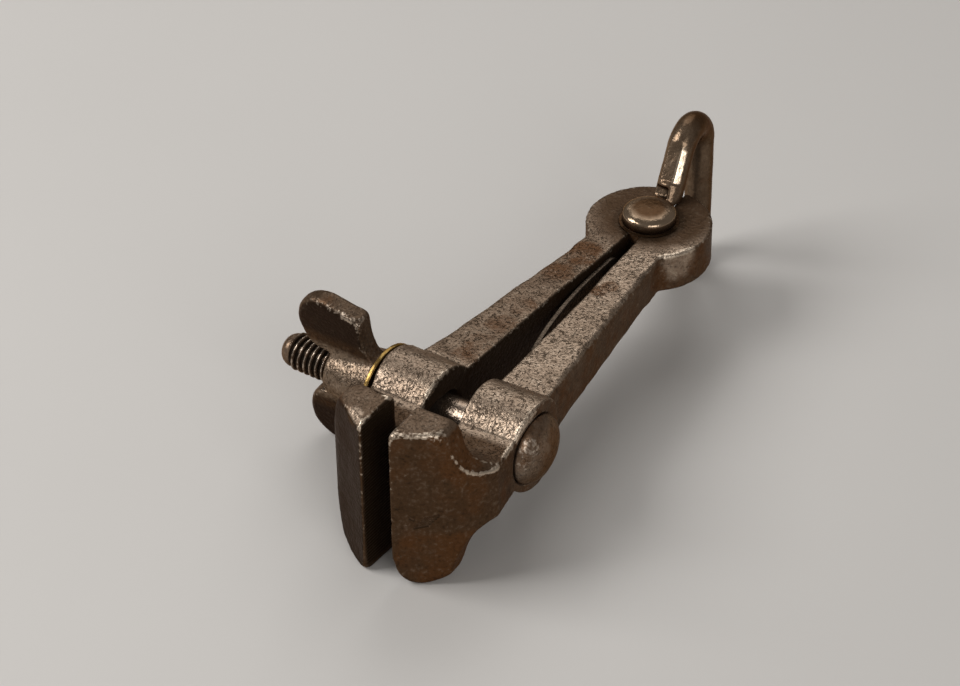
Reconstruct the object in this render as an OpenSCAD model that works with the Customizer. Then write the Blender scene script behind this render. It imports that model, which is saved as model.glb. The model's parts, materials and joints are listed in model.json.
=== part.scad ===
// Hand vise: two forged legs on a riveted rule joint, a clamp screw with a wing nut,
// a leaf spring that opens the jaws, and a hanging loop on the pivot rivet.
// The vise lies on its side: the pivot axis is Z, the jaws point to -Y, the wing nut to -X.

/* [Jaws] */
// Pivot axis to the front edges of the jaws
jaw_reach = 89.4; // [84:0.1:96]
// Screw axis to the upper ends of the jaws
jaw_up = 15.3; // [13.5:0.1:18]
// Screw axis to the lower ends of the jaws, on which the vise lies
jaw_down = 16.7; // [16.3:0.1:18]
// Depth of the gripping faces, from front to back
jaw_depth = 10.0; // [8:0.1:11.5]
// Thickness of the jaw lobes at the front
lobe_t = 8.1; // [6.5:0.1:9.5]
// Fall of the front bevel across a lobe
bevel_fall = 4.7; // [3:0.1:6]
// Gripping plane to the outer corner of the neck
neck_out = 13.3; // [12:0.1:15]
// Front edge of the jaws to the outer corner of the neck
neck_back = 12.5; // [10:0.1:14]
// Height of the neck between jaw and boss
neck_h = 10.6; // [9:0.1:13]
// Radius of the hollow between a lobe's back and the neck
throat_r = 4.8; // [3:0.1:5.5]
// Ease of the hollow beside a lobe, where it runs out into the neck
throat_ease = 2.1; // [1.2:0.1:3]
// Worn bevel along the ends of the lobes
lobe_edge = 1.1; // [0.3:0.1:1.5]
// Worn round of the right jaw's lower end, up the gripping edge
worn_up = 5.5; // [3:0.1:5.8]
// Worn round of the right jaw's lower end, out from the gripping plane
worn_out = 4.0; // [2:0.1:5]
// Worn round of the right jaw's lower end, up its outer side
worn_rise = 2.7; // [1.5:0.1:4]

/* [Legs] */
// Gap between the legs with the jaws closed
leg_gap = 3.0; // [2.4:0.1:4]
// Gap between the legs beside the pivot, jaws closed
heel_gap = 2.0; // [1.6:0.1:2.4]
// Gap behind the pivot, jaws closed
back_gap = 3.2; // [2.9:0.1:3.8]
// Gripping plane to the outer side of a leg at the boss
leg_out_boss = 11.0; // [10:0.1:12]
// Gripping plane to the outer side of a leg at the pivot
leg_out_heel = 7.0; // [6:0.1:8]
// Thickness of the legs at the boss
leg_t_boss = 10.0; // [8.5:0.1:10.5]
// Thickness of the legs at the pivot
leg_t_heel = 7.7; // [7:0.1:9]

/* [Pivot] */
// Diameter of the round heel
heel_d = 23.3; // [20:0.1:24.6]
// Diameter of the knuckles round the rivet
knuckle_d = 10.0; // [9:0.1:10.8]
// Thickness of the middle knuckle
tongue_t = 2.5; // [2:0.1:3]
// Diameter of the pivot rivet
rivet_d = 6.0; // [5:0.1:6.5]
// Diameter of the rivet heads
rivet_head_d = 10.0; // [9:0.1:10.8]
// Height of a rivet head
rivet_head_h = 2.3; // [1.5:0.1:3]
// Radial gap round the knuckles
knuckle_gap = 0.2; // [0.1:0.05:0.4]
// Gap between the flat faces of the knuckles
face_gap = 0.1; // [0.05:0.05:0.2]
// Running clearance of pins in their holes, on the radius
run_gap = 0.05; // [0.02:0.01:0.1]

/* [Clamp screw] */
// Pivot axis to the screw axis
screw_back = 63.1; // [60:0.1:66]
// Outer diameter of the thread
thread_d = 6.8; // [6:0.05:7.4]
// Pitch of the thread
thread_pitch = 1.27; // [1:0.01:1.5]
// Depth of the thread
thread_depth = 0.75; // [0.5:0.05:0.9]
// Screw tip from the pivot plane
tip_out = 36.0; // [35.6:0.1:41]
// Length of the rounded tip
tip_h = 2.6; // [1.8:0.1:3]
// Start of the thread from the pivot plane
thread_from = 8.5; // [7:0.1:9.5]
// Diameter of the screw head
head_d = 12.8; // [12:0.1:14]
// Height of the screw head
head_h = 3.6; // [3:0.1:5]
// Diameter of the cross pin that stops the screw turning
pin_d = 2.0; // [1.5:0.1:2.2]
// Length of the cross pin
pin_len = 10.0; // [9:0.1:11]
// Diameter of the bosses that the screw passes through
boss_d = 16.8; // [16:0.1:18]
// Gripping plane to the outer end of a boss
boss_out = 12.9; // [12:0.1:14]
// Radius of the crowned outer end of a boss
crown_r = 40; // [30:1:60]
// Clearance round the screw in the slotted leg, on the radius
slot_gap = 0.3; // [0.2:0.05:0.5]

/* [Wing nut and washer] */
// Diameter of the brass washer
washer_d = 16.4; // [14:0.1:16.8]
// Thickness of the brass washer
washer_t = 0.8; // [0.5:0.1:1.2]
// Slack between washer and boss
washer_slack = 0.25; // [0.2:0.05:0.4]
// Length of the nut's hub
hub_len = 10.4; // [9:0.1:12]
// Diameter of the hub at the washer
hub_base_d = 13.4; // [12:0.1:14]
// Diameter of the hub at its outer end
hub_end_d = 9.6; // [9:0.1:11]
// Thickness of a wing
wing_t = 3.8; // [3:0.1:4.5]
// Screw axis to the tip of a wing
wing_reach = 16.5; // [14.8:0.1:16.6]
// Radius of the round ear of a wing
ear_r = 5.9; // [4.6:0.1:6]
// Washer to the middle of the ear
ear_out = 10.9; // [9.5:0.1:12]
// Washer to the shoulder corner of a wing
shoulder_out = 3.0; // [2.4:0.1:4]
// Drop of the shoulder corner below the tip of the wing
shoulder_drop = 1.7; // [1:0.1:2.5]
// Height of the hollow sweep from the hub up to a wing's shoulder
wing_sweep = 5.0; // [2.5:0.1:6]
// Turn of the nut at rest
nut_turn = 6.5; // [0:0.5:10]

/* [Hanging loop] */
// Diameter of the loop's rod
rod_d = 5.3; // [4.4:0.1:5.6]
// Pivot axis to the middle of the loop's end bar
loop_reach = 22.0; // [20.5:0.1:26]
// Middle of the vise to the top of the loop, to the middle of the rod
loop_top = 14.2; // [13:0.1:15]
// Bend radius of the loop's corners, to the middle of the rod
loop_bend = 4.8; // [4:0.1:5.5]
// Slope of the loop's two sides
loop_slope = 57; // [52:1:62]
// Diameter of the loop's flat eyes
eye_d = 11.2; // [10.6:0.1:12]
// Thickness of the loop's flat eyes
eye_t = 0.7; // [0.6:0.1:1.2]
// Width of the flat between eye and rod
foot_w = 4.4; // [3.5:0.1:4.6]
// Length of the flat forged on the front of the rod, above the foot
tang_len = 1.3; // [1:0.1:3]
// Middle of the rod to that flat
tang_front = 0.9; // [0.5:0.1:1.5]
// Middle of the rod to the side on which that flat ends
tang_side = 0.6; // [0.2:0.1:1.5]
// Swing of the loop at rest
loop_swing = 6; // [0:1:10]

/* [Leaf spring] */
// Thickness of the spring
spring_t = 0.9; // [0.6:0.1:0.9]
// Width of the spring
spring_w = 5.0; // [4:0.1:6]
// Pivot axis to the spring's rivet
spring_rivet_back = 12.5; // [12:0.1:13]
// Pivot axis to the start of the bow
bow_from = 15.5; // [15:0.1:17]
// Pivot axis to the spring's free tip
spring_tip_back = 43.0; // [38:0.1:43.5]
// Radius of the bow
bow_r = 108; // [104:1:160]
// Diameter of the spring's rivet
spring_rivet_d = 2.2; // [1.8:0.1:2.6]
// Height of the spring rivet's head
spring_head_h = 0.5; // [0.3:0.1:0.6]

/* [Rest pose] */
// Lean of the right leg from square to the screw
right_lean = 3.2; // [2.8:0.1:3.6]
// Lean of the left leg from square to the screw
left_lean = 0.3; // [0:0.1:0.6]
// Further opening of the left leg from rest
swing_open = 8.5; // [6:0.1:9]
// Closing of the left leg from rest
swing_close = 3.4; // [2.5:0.1:3.4]

/* [Hidden] */

$fn = 64;
steel = [0.47, 0.42, 0.37];
dark_steel = [0.33, 0.28, 0.24];
bronze_steel = [0.45, 0.36, 0.28];
brass = [0.72, 0.55, 0.24];

thread_r = thread_d / 2;
root_r = thread_r - thread_depth;
rod_r = rod_d / 2;
rivet_r = rivet_d / 2;
boss_r = boss_d / 2;
head_r = head_d / 2;
jaw_back = jaw_reach - jaw_depth;
neck_y = jaw_reach - neck_back;
half_neck = neck_h / 2;
// Ends of the straight taper along the outer side of a leg, behind the boss
taper_front = screw_back - boss_r * 0.8;
taper_back = heel_d * 0.35;
// Steps along each rounded stretch of an outline
arc_steps = 8;
// Room beyond a solid for a cut to pass right through it
cut = 1;
// Large enough for a cut to clear the whole vise
far = 60;

// Levels of the pivot joint, measured from the middle of the vise
heel_top = leg_t_heel / 2;
tongue_top = tongue_t / 2;
recess_r = knuckle_d / 2 + knuckle_gap;
eye_low = heel_top + face_gap;
eye_high = eye_low + eye_t;
rivet_low = eye_high + face_gap;

// Middle of the crowned end of the left boss, turned to rest
left_crown_x = (crown_r - boss_out) * cos(left_lean) - screw_back * sin(left_lean);
washer_x = left_crown_x - crown_r - washer_slack;
nut_x = washer_x - washer_t;
// Flat seat cut for the screw head on the leaning right boss
head_seat = boss_out * cos(right_lean) + (screw_back - head_r) * sin(right_lean)
    - (crown_r - sqrt(crown_r * crown_r - head_r * head_r));
pin_x = head_seat - pin_d / 2 - run_gap;

// Ends of the slot that the screw needs in the swinging left leg
open_lean = swing_open + left_lean;
slot_forward = boss_out * tan(open_lean) + screw_back * (1 / cos(open_lean) - 1);
slot_rearward = boss_out * tan(swing_close);

// Lowest reach of the loop is level with the jaws, so the vise lies flat
loop_bottom = jaw_down - rod_r;
bar_len = loop_top + loop_bottom - 2 * loop_bend;
// The rod swells a little in its bends, and its straight runs lap into them
bend_swell = 0.03;
bend_lap = 0.3;

// The origin is under the middle of the whole vise
origin = [
    (head_seat + head_h - tip_out) / 2,
    (loop_reach * cos(loop_swing) + rod_r - jaw_reach * cos(left_lean)) / 2,
    -jaw_down
];

// Outer side of a leg at a distance from the pivot
function leg_out(back) =
    leg_out_heel + (leg_out_boss - leg_out_heel) * (back - taper_back) / (taper_front - taper_back);

// Points along an arc
function arc(x, y, r, from, to, steps = arc_steps) =
    [for (i = [0 : steps]) let (a = from + (to - from) * i / steps) [x + r * cos(a), y + r * sin(a)]];

// Points along a quadratic curve, without its first point
function curve(a, b, c, steps = arc_steps) =
    [for (i = [1 : steps]) let (t = i / steps) (1 - t) * (1 - t) * a + 2 * t * (1 - t) * b + t * t * c];

function mirrored(points) = [for (i = [len(points) - 1 : -1 : 0]) [points[i][0], -points[i][1]]];

// Outline of a leg from above with its gripping plane at x = 0
module leg_plan() {
    front = [0, -jaw_reach];
    lobe = [lobe_t, bevel_fall - jaw_reach];
    neck = [neck_out, -neck_y];
    bevel_step = (neck_out - lobe_t) * 0.6;
    shoulder = lobe + bevel_step * [1, bevel_fall / lobe_t];
    polygon(concat(
        [front, lobe],
        curve(lobe, shoulder, neck),
        [
            [boss_out - cut / 2, -screw_back - boss_r * 0.8],
            [leg_out_boss, -taper_front],
            [leg_out_heel, -taper_back],
            [leg_out_heel / 2, -knuckle_d / 2],
            [heel_gap / 2, -knuckle_d / 2],
            [heel_gap / 2, -bow_from - cut],
            [leg_gap / 2, -bow_from - heel_d / 2],
            [leg_gap / 2, -jaw_back + leg_gap / 2],
            [0, -jaw_back]
        ]
    ));
}

// Upper edge of a leg from the side, up to a jaw lobe of that height: x is along the leg
function leg_edge(lobe_h) = concat(
    [
        [0, heel_top],
        [-heel_d / 2, heel_top],
        [-screw_back + boss_r * 0.8, leg_t_boss / 2],
        [-screw_back - boss_r * 0.8, half_neck]
    ],
    arc(throat_r - jaw_back, half_neck + throat_r, throat_r, 270, 180),
    [
        [-jaw_back, lobe_h - lobe_edge],
        [-jaw_back - lobe_edge, lobe_h],
        [-jaw_reach - cut, lobe_h]
    ]
);

module leg_profile() {
    polygon(concat(leg_edge(jaw_up), mirrored(leg_edge(jaw_down))));
}

// Hollow above the neck, outside a jaw lobe, as seen from the front
module throat_section(lobe_h) {
    top = [lobe_t, lobe_h - lobe_edge];
    run_out = [lobe_t + throat_ease, half_neck];
    corner = [neck_out, half_neck];
    polygon(concat(
        [
            [neck_out + far, half_neck],
            [neck_out + far, lobe_h + cut],
            [lobe_t - lobe_edge, lobe_h + cut],
            [lobe_t - lobe_edge, lobe_h],
            top
        ],
        curve(top, run_out, corner, 2 * arc_steps)
    ));
}

module throats() {
    for (side = [0, 1])
        mirror([0, 0, side])
            translate([0, -screw_back - boss_r * 0.8, 0])
                rotate([90, 0, 0])
                    linear_extrude(height = jaw_reach)
                        throat_section(side == 0 ? jaw_up : jaw_down);
}

// Round surface that crowns the outer end of a boss
module crown() {
    translate([boss_out - crown_r, -screw_back, 0])
        cylinder(r = crown_r, h = 2 * boss_d, center = true, $fn = 128);
}

// Barrel round the screw, with a crowned outer end
module boss() {
    intersection() {
        translate([leg_gap / 2, -screw_back, 0])
            rotate([0, 90, 0])
                cylinder(r = boss_r, h = boss_out);
        crown();
    }
}

// Room that the washer needs beside the crowned boss as the leg swings
module washer_room() {
    difference() {
        translate([0, -screw_back, 0])
            rotate([0, 90, 0])
                cylinder(r = washer_d / 2 + slot_forward + washer_slack, h = far);
        crown();
    }
}

// One leg's half of the round heel
module half_heel() {
    intersection() {
        cylinder(r = heel_d / 2, h = leg_t_heel, center = true);
        linear_extrude(height = leg_t_heel + cut, center = true)
            polygon([
                [heel_gap / 2, -heel_d],
                [heel_d, -heel_d],
                [heel_d, heel_d],
                [back_gap / 2, heel_d],
                [back_gap / 2, 0],
                [heel_gap / 2, 0]
            ]);
    }
}

// A leg before its joint and holes are cut, jaws closed, on the +X side
module leg_blank() {
    difference() {
        intersection() {
            linear_extrude(height = 2 * far, center = true)
                leg_plan();
            rotate([90, 0, 90])
                translate([0, 0, -cut])
                    linear_extrude(height = far)
                        leg_profile();
        }
        throats();
    }
    boss();
    half_heel();
}

module right_at_rest() {
    rotate([0, 0, right_lean])
        children();
}

module left_at_rest() {
    rotate([0, 0, -left_lean])
        mirror([1, 0, 0])
            children();
}

module on_origin() {
    translate(-origin)
        children();
}

// Round bar along the screw axis from x = from to x = to
module along_screw(r, from, to) {
    translate([from, -screw_back, 0])
        rotate([0, 90, 0])
            cylinder(r = r, h = to - from);
}

// Room cut from the lower end of the right jaw, where it is worn round
module worn_end() {
    low = 0.02 - jaw_down;
    inner = [0, worn_up - jaw_down];
    outer = [lobe_t + lobe_edge / 2, worn_rise - jaw_down];
    translate([0, -jaw_back + cut, 0])
        rotate([90, 0, 0])
            linear_extrude(height = jaw_depth + 2 * cut)
                polygon(concat(
                    [[-cut, -far], [-cut, inner[1]], inner],
                    curve(inner, [0, low], [worn_out, low]),
                    curve([worn_out, low], [lobe_t - 0.5, low + 0.2], outer),
                    [[far, outer[1]], [far, -far]]
                ));
}

module right_leg() {
    groove_w = pin_d + 2 * run_gap;
    color(steel)
        on_origin()
            difference() {
                right_at_rest()
                    difference() {
                        union() {
                            leg_blank();
                            cylinder(d = knuckle_d, h = leg_t_heel, center = true);
                        }
                        cylinder(r = recess_r, h = tongue_t + 2 * face_gap, center = true);
                        cylinder(r = rivet_r + run_gap, h = far, center = true);
                        worn_end();
                    }
                along_screw(thread_r + run_gap, -far, far);
                along_screw(head_r + run_gap, head_seat, far);
                translate([pin_x + cut / 2, -screw_back, 0])
                    cube([groove_w + cut, groove_w, pin_len + 2 * run_gap], center = true);
            }
}

// Slot through the left boss that lets the leg swing past the straight screw
module screw_slot() {
    r = thread_r + slot_gap;
    outline = concat(
        arc(slot_rearward, 0, r, -90, 90, 2 * arc_steps),
        arc(-slot_forward, 0, r, 90, 270, 2 * arc_steps)
    );
    translate([-cut, -screw_back, 0])
        rotate([90, 0, 90])
            linear_extrude(height = far)
                polygon(outline);
}

module left_leg() {
    color(steel)
        on_origin()
            left_at_rest()
                difference() {
                    union() {
                        difference() {
                            leg_blank();
                            washer_room();
                            for (side = [0, 1])
                                mirror([0, 0, side])
                                    translate([0, 0, tongue_top])
                                        cylinder(r = recess_r, h = heel_top);
                        }
                        cylinder(d = knuckle_d, h = tongue_t, center = true);
                    }
                    cylinder(r = rivet_r + run_gap, h = far, center = true);
                    screw_slot();
                    translate([0, -spring_rivet_back, 0])
                        rotate([0, 90, 0])
                            cylinder(d = spring_rivet_d, h = far);
                }
}

// Rivet through the knuckles and the loop's eyes, with a low domed head at each end
module pivot_rivet() {
    dome_r = rivet_head_d / 2;
    rim = rivet_low + rivet_head_h * 0.6;
    top = rivet_low + rivet_head_h;
    color(bronze_steel)
        on_origin()
            rotate_extrude()
                polygon(concat(
                    [[0, -top]],
                    curve([0, -top], [dome_r, -top], [dome_r, -rim]),
                    [[dome_r, -rivet_low], [rivet_r, -rivet_low]],
                    [[rivet_r, rivet_low], [dome_r, rivet_low], [dome_r, rim]],
                    curve([dome_r, rim], [dome_r, top], [0, top])
                ));
}

// Radius of the threaded surface at a height and an angle along the screw
function thread_at(z, a, length) =
    let (
        phase = z / thread_pitch - a / 360,
        tooth = abs(2 * (phase - floor(phase)) - 1),
        ridge = min(1, max(0, 1.6 * tooth - 0.3)),
        start = min(1, z / thread_pitch),
        finish = max(0, min(1, (length - z) / thread_pitch))
    )
    root_r + thread_depth * (ridge * start * finish + 0.85 * (1 - finish));

// Threaded end as one closed surface, z running towards the tip
module thread(length) {
    sides = 16;
    rows = ceil(length / thread_pitch * 4);
    ring = [for (j = [0 : rows], i = [0 : sides - 1])
        let (z = length * j / rows, a = 360 * i / sides, r = thread_at(z, a, length))
        [r * cos(a), r * sin(a), z]];
    walls = [for (j = [0 : rows - 1], i = [0 : sides - 1], half = [0, 1])
        let (a = j * sides + i, b = j * sides + (i + 1) % sides)
        half == 0 ? [a, a + sides, b + sides] : [a, b + sides, b]];
    low_end = [[for (i = [0 : sides - 1]) i]];
    high_end = [[for (i = [sides - 1 : -1 : 0]) rows * sides + i]];
    polyhedron(points = ring, faces = concat(walls, low_end, high_end));
}

// Profile of the domed head and plain shank, x as radius and y along the screw
module screw_profile() {
    rim = [head_r, head_seat + head_h * 0.28];
    top = head_seat + head_h;
    polygon(concat(
        [
            [0, -thread_from],
            [thread_r, -thread_from],
            [thread_r, head_seat],
            [head_r * 0.92, head_seat],
            rim
        ],
        curve(rim, [head_r * 0.85, top], [0, top])
    ));
}

module clamp_screw() {
    thread_len = tip_out - thread_from - tip_h;
    color(dark_steel)
        on_origin()
            translate([0, -screw_back, 0]) {
                difference() {
                    rotate([0, 90, 0])
                        rotate_extrude()
                            screw_profile();
                    translate([pin_x, 0, 0])
                        cylinder(d = pin_d, h = far, center = true);
                }
                translate([-thread_from, 0, 0])
                    rotate([0, -90, 0])
                        thread(thread_len);
                translate([tip_h - tip_out, 0, 0])
                    rotate([0, -90, 0])
                        rotate_extrude()
                            polygon(concat(
                                [[0, 0], [thread_r * 0.92, 0]],
                                curve([thread_r * 0.92, 0], [thread_r * 0.85, tip_h], [0, tip_h])
                            ));
            }
}

// Cross pin under the screw head, lying in a groove across the right boss
module screw_pin() {
    color(dark_steel)
        on_origin()
            translate([pin_x, -screw_back, 0])
                cylinder(d = pin_d, h = pin_len, center = true);
}

module brass_washer() {
    color(brass)
        on_origin()
            difference() {
                along_screw(washer_d / 2, washer_x - washer_t, washer_x);
                along_screw(thread_r + run_gap, -far, far);
            }
}

// One wing from the side: x runs out from the washer, y away from the screw
module wing_outline() {
    shoulder = [shoulder_out, wing_reach - shoulder_drop];
    root = [shoulder_out, hub_base_d / 2 + wing_sweep];
    hollow = [shoulder_out * 0.95, hub_base_d / 2 + 0.3];
    foot = [shoulder_out * 0.15, hub_base_d / 2 - 0.4];
    polygon(concat(
        [shoulder, root],
        curve(root, hollow, foot),
        [[foot[0], 0], [hub_len - cut, 0], [hub_len - cut, hub_end_d / 2]],
        arc(ear_out, wing_reach - ear_r, ear_r, -62, 100, 2 * arc_steps)
    ));
}

module wing() {
    mirror([1, 0, 0])
        rotate([90, 0, 0])
            linear_extrude(height = wing_t, center = true)
                wing_outline();
}

module wing_nut() {
    color(dark_steel)
        on_origin()
            translate([nut_x, -screw_back, 0])
                rotate([nut_turn, 0, 0])
                    difference() {
                        union() {
                            rotate([0, -90, 0])
                                cylinder(d1 = hub_base_d, d2 = hub_end_d, h = hub_len);
                            for (side = [0, 1])
                                mirror([0, 0, side])
                                    wing();
                        }
                        rotate([0, 90, 0])
                            cylinder(r = thread_r + run_gap, h = far, center = true);
                    }
}

// Where the sloping side of the loop meets its bend, for a bend that reaches height top
function side_end(top) = [
    loop_reach - loop_bend - loop_bend * sin(loop_slope),
    top - loop_bend + loop_bend * cos(loop_slope)
];

// Distance behind the pivot at which that side comes down to its flat foot
function foot_back(top) = side_end(top)[0] - (side_end(top)[1] - eye_high) / tan(loop_slope);

// Rod of the loop on the +Z side, in the plane x = 0
module loop_rod(top) {
    end = side_end(top);
    side_len = end[1] / sin(loop_slope);
    translate([0, end[0], end[1]])
        rotate([loop_slope + 90, 0, 0])
            translate([0, 0, -bend_lap])
                cylinder(r = rod_r - bend_swell, h = side_len + bend_lap);
    translate([0, loop_reach - loop_bend, top - loop_bend])
        rotate([90, 0, 90])
            rotate_extrude(angle = 90 + loop_slope)
                translate([loop_bend, 0])
                    circle(r = rod_r);
}

// Room cut from the front of the rod to leave its flat tang
module tang_room(top) {
    end = side_end(top);
    down = (end[1] - eye_high) / sin(loop_slope);
    translate([0, end[0], end[1]])
        rotate([loop_slope + 90, 0, 0])
            translate([-rod_d, tang_front, down - tang_len])
                cube([rod_d + tang_side, rod_d, 2 * tang_len]);
}

// Flat eye on the rivet and the flat that joins it to the rod
module loop_eye(top) {
    translate([0, 0, eye_low])
        cylinder(d = eye_d, h = eye_t);
    translate([-foot_w / 2, 0, eye_low])
        cube([foot_w, foot_back(top), eye_t]);
}

module hanging_loop() {
    color(bronze_steel)
        on_origin()
            rotate([0, 0, loop_swing])
                difference() {
                    union() {
                        difference() {
                            union() {
                                loop_rod(loop_top);
                                mirror([0, 0, 1])
                                    loop_rod(loop_bottom);
                                translate([0, loop_reach, loop_bend - loop_bottom - bend_lap])
                                    cylinder(r = rod_r - bend_swell, h = bar_len + 2 * bend_lap);
                            }
                            cylinder(d = heel_d + rod_d, h = 2 * eye_low, center = true);
                            tang_room(loop_top);
                            mirror([0, 0, 1])
                                tang_room(loop_bottom);
                        }
                        loop_eye(loop_top);
                        mirror([0, 0, 1])
                            loop_eye(loop_bottom);
                    }
                    cylinder(r = rivet_r + run_gap, h = far, center = true);
                }
}

// Edge of the spring's strip at a distance from the middle of its thickness, along the bow
function spring_edge(off) =
    let (
        middle = heel_gap / 2 - spring_t / 2 - bow_r,
        turn = asin((spring_tip_back - bow_from) / bow_r)
    )
    arc(middle, -bow_from, bow_r + off, 0, -turn);

// Bowed strip riveted to the left leg, its free tip against the right leg
module leaf_spring() {
    seat = heel_gap / 2;
    face = spring_edge(spring_t / 2);
    back = spring_edge(-spring_t / 2);
    color(dark_steel)
        on_origin()
            left_at_rest()
                difference() {
                    union() {
                        linear_extrude(height = spring_w, center = true)
                            polygon(concat(
                                [[seat - spring_t, -spring_rivet_back], [seat, -spring_rivet_back]],
                                face,
                                [for (i = [len(back) - 1 : -1 : 0]) back[i]]
                            ));
                        translate([seat - spring_t, -spring_rivet_back, 0])
                            rotate([0, 90, 0])
                                cylinder(d = spring_w, h = spring_t);
                    }
                    translate([-far / 2, -spring_rivet_back, 0])
                        rotate([0, 90, 0])
                            cylinder(d = spring_rivet_d, h = far);
                }
}

// Small rivet that holds the spring, filed flush outside
module spring_rivet() {
    seat = heel_gap / 2;
    flush = leg_out(spring_rivet_back - spring_rivet_d / 2);
    color(dark_steel)
        on_origin()
            left_at_rest()
                translate([seat - spring_t, -spring_rivet_back, 0])
                    rotate([0, 90, 0]) {
                        cylinder(d = spring_rivet_d, h = flush - seat + spring_t);
                        translate([0, 0, -spring_head_h])
                            cylinder(d1 = spring_rivet_d, d2 = 1.7 * spring_rivet_d, h = spring_head_h);
                    }
}

right_leg();
left_leg();
pivot_rivet();
clamp_screw();
screw_pin();
brass_washer();
wing_nut();
hanging_loop();
leaf_spring();
spring_rivet();
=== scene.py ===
"""Looks of the hand vise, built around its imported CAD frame.

The forged legs, the wing nut and the hanging loop are worked up from copies of the frame's solids:
remeshed, worn round along their edges, filled in their hollows, then dented and marked for their
finish. The screw, rivet, washer and spring are new meshes. The cross pin and the spring's rivet stay
as they are in the frame and get a finish. Sizes here are in millimetres, finished meshes in metres.
"""

import json
import logging
import math
from dataclasses import dataclass, field
from enum import Enum
from typing import Any, Iterable, Sequence, Union

import bmesh
import bpy
import numpy as np
from mathutils import Matrix, Vector, noise


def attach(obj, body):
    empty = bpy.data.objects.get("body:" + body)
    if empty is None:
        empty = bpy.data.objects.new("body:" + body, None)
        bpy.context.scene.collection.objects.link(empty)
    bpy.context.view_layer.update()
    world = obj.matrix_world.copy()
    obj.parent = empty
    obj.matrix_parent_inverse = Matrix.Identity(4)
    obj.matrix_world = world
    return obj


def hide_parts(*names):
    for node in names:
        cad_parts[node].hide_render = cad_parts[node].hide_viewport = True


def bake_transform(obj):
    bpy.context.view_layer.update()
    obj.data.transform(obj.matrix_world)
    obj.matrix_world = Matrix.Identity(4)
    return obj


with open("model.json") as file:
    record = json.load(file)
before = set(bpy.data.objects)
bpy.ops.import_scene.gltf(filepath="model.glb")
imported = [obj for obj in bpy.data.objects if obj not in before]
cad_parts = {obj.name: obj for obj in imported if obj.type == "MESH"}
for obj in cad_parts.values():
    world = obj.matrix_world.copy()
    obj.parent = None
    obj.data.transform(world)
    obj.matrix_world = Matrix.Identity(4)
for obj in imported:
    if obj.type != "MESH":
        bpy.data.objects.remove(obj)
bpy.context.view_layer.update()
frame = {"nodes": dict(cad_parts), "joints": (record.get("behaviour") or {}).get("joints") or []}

MM = 0.001
NOISE_MEAN = 0.5
WELD_M = 1e-6
WELD_MM = 1e-4
TINY = 1e-9
LOG = logging.getLogger("hand_vise")

Colour = tuple[float, float, float]
Place = tuple[float, float, float]
Pair = tuple[float, float]
Value = Union["Signal", float, Sequence[float]]
Amount = Union[np.ndarray, float]


class Mark(Enum):
    """Per-vertex marks that the finishes read. Besides real wear, grime and clean metal, the wear mark also
    holds painted highlights, the hollow mark painted shade and the clean mark painted light.
    """

    WEAR = "wear"
    HOLLOW = "hollow"
    CLEAN = "clean"
    PITTED = "pitted"
    RUSTY = "rusty"


class Side(Enum):
    """Side of the gripping plane on which a leg lies."""

    RIGHT = 1.0
    LEFT = -1.0


class Joint(Enum):
    """Joints whose anchors place the pieces."""

    LEG = "left_leg_swing"
    NUT = "wing_nut_turn"
    LOOP = "loop_swing"


class Axis(Enum):
    """Axis round which a piece is turned or spun."""

    X = "X"
    Z = "Z"


class Signal:
    """A shader socket that adds Math nodes when it is used in an expression."""

    def __init__(self, graph: "Graph", socket: bpy.types.NodeSocket) -> None:
        """Keeps the graph and its socket."""
        self.graph = graph
        self.socket = socket

    def _math(self, operation: str, first: Value, second: Value = 0.0) -> "Signal":
        """Adds one Math node."""
        return self.graph.node("ShaderNodeMath", {"operation": operation}, {0: first, 1: second})

    def __add__(self, other: Value) -> "Signal":
        """Sum of two values."""
        return self._math("ADD", self, other)

    def __sub__(self, other: Value) -> "Signal":
        """Difference of two values."""
        return self._math("SUBTRACT", self, other)

    def __rsub__(self, other: Value) -> "Signal":
        """Difference with a number first."""
        return self._math("SUBTRACT", other, self)

    def __mul__(self, other: Value) -> "Signal":
        """Product of two values."""
        return self._math("MULTIPLY", self, other)

    __radd__ = __add__
    __rmul__ = __mul__

    def apart(self, centre: float) -> "Signal":
        """Distance of the value from a centre."""
        return self._math("ABSOLUTE", self - centre)

    def larger(self, other: Value) -> "Signal":
        """Larger of two values."""
        return self._math("MAXIMUM", self, other)

    def within(self) -> "Signal":
        """Value held between 0 and 1."""
        return self.graph.node("ShaderNodeClamp", {}, {0: self})

    def rise(self, low: float, high: float) -> "Signal":
        """Smooth rise from 0 at low to 1 at high.

        Args:
            low: Value at which the rise starts.
            high: Value at which it ends; below low it is a fall.

        Returns:
            The smoothed share.
        """
        start, end = (low, high) if low < high else (high, low)
        ends = (0.0, 1.0) if low < high else (1.0, 0.0)
        return self.graph.node(
            "ShaderNodeMapRange",
            {"interpolation_type": "SMOOTHSTEP"},
            {"Value": self, "From Min": start, "From Max": end, "To Min": ends[0], "To Max": ends[1]},
        )


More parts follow.
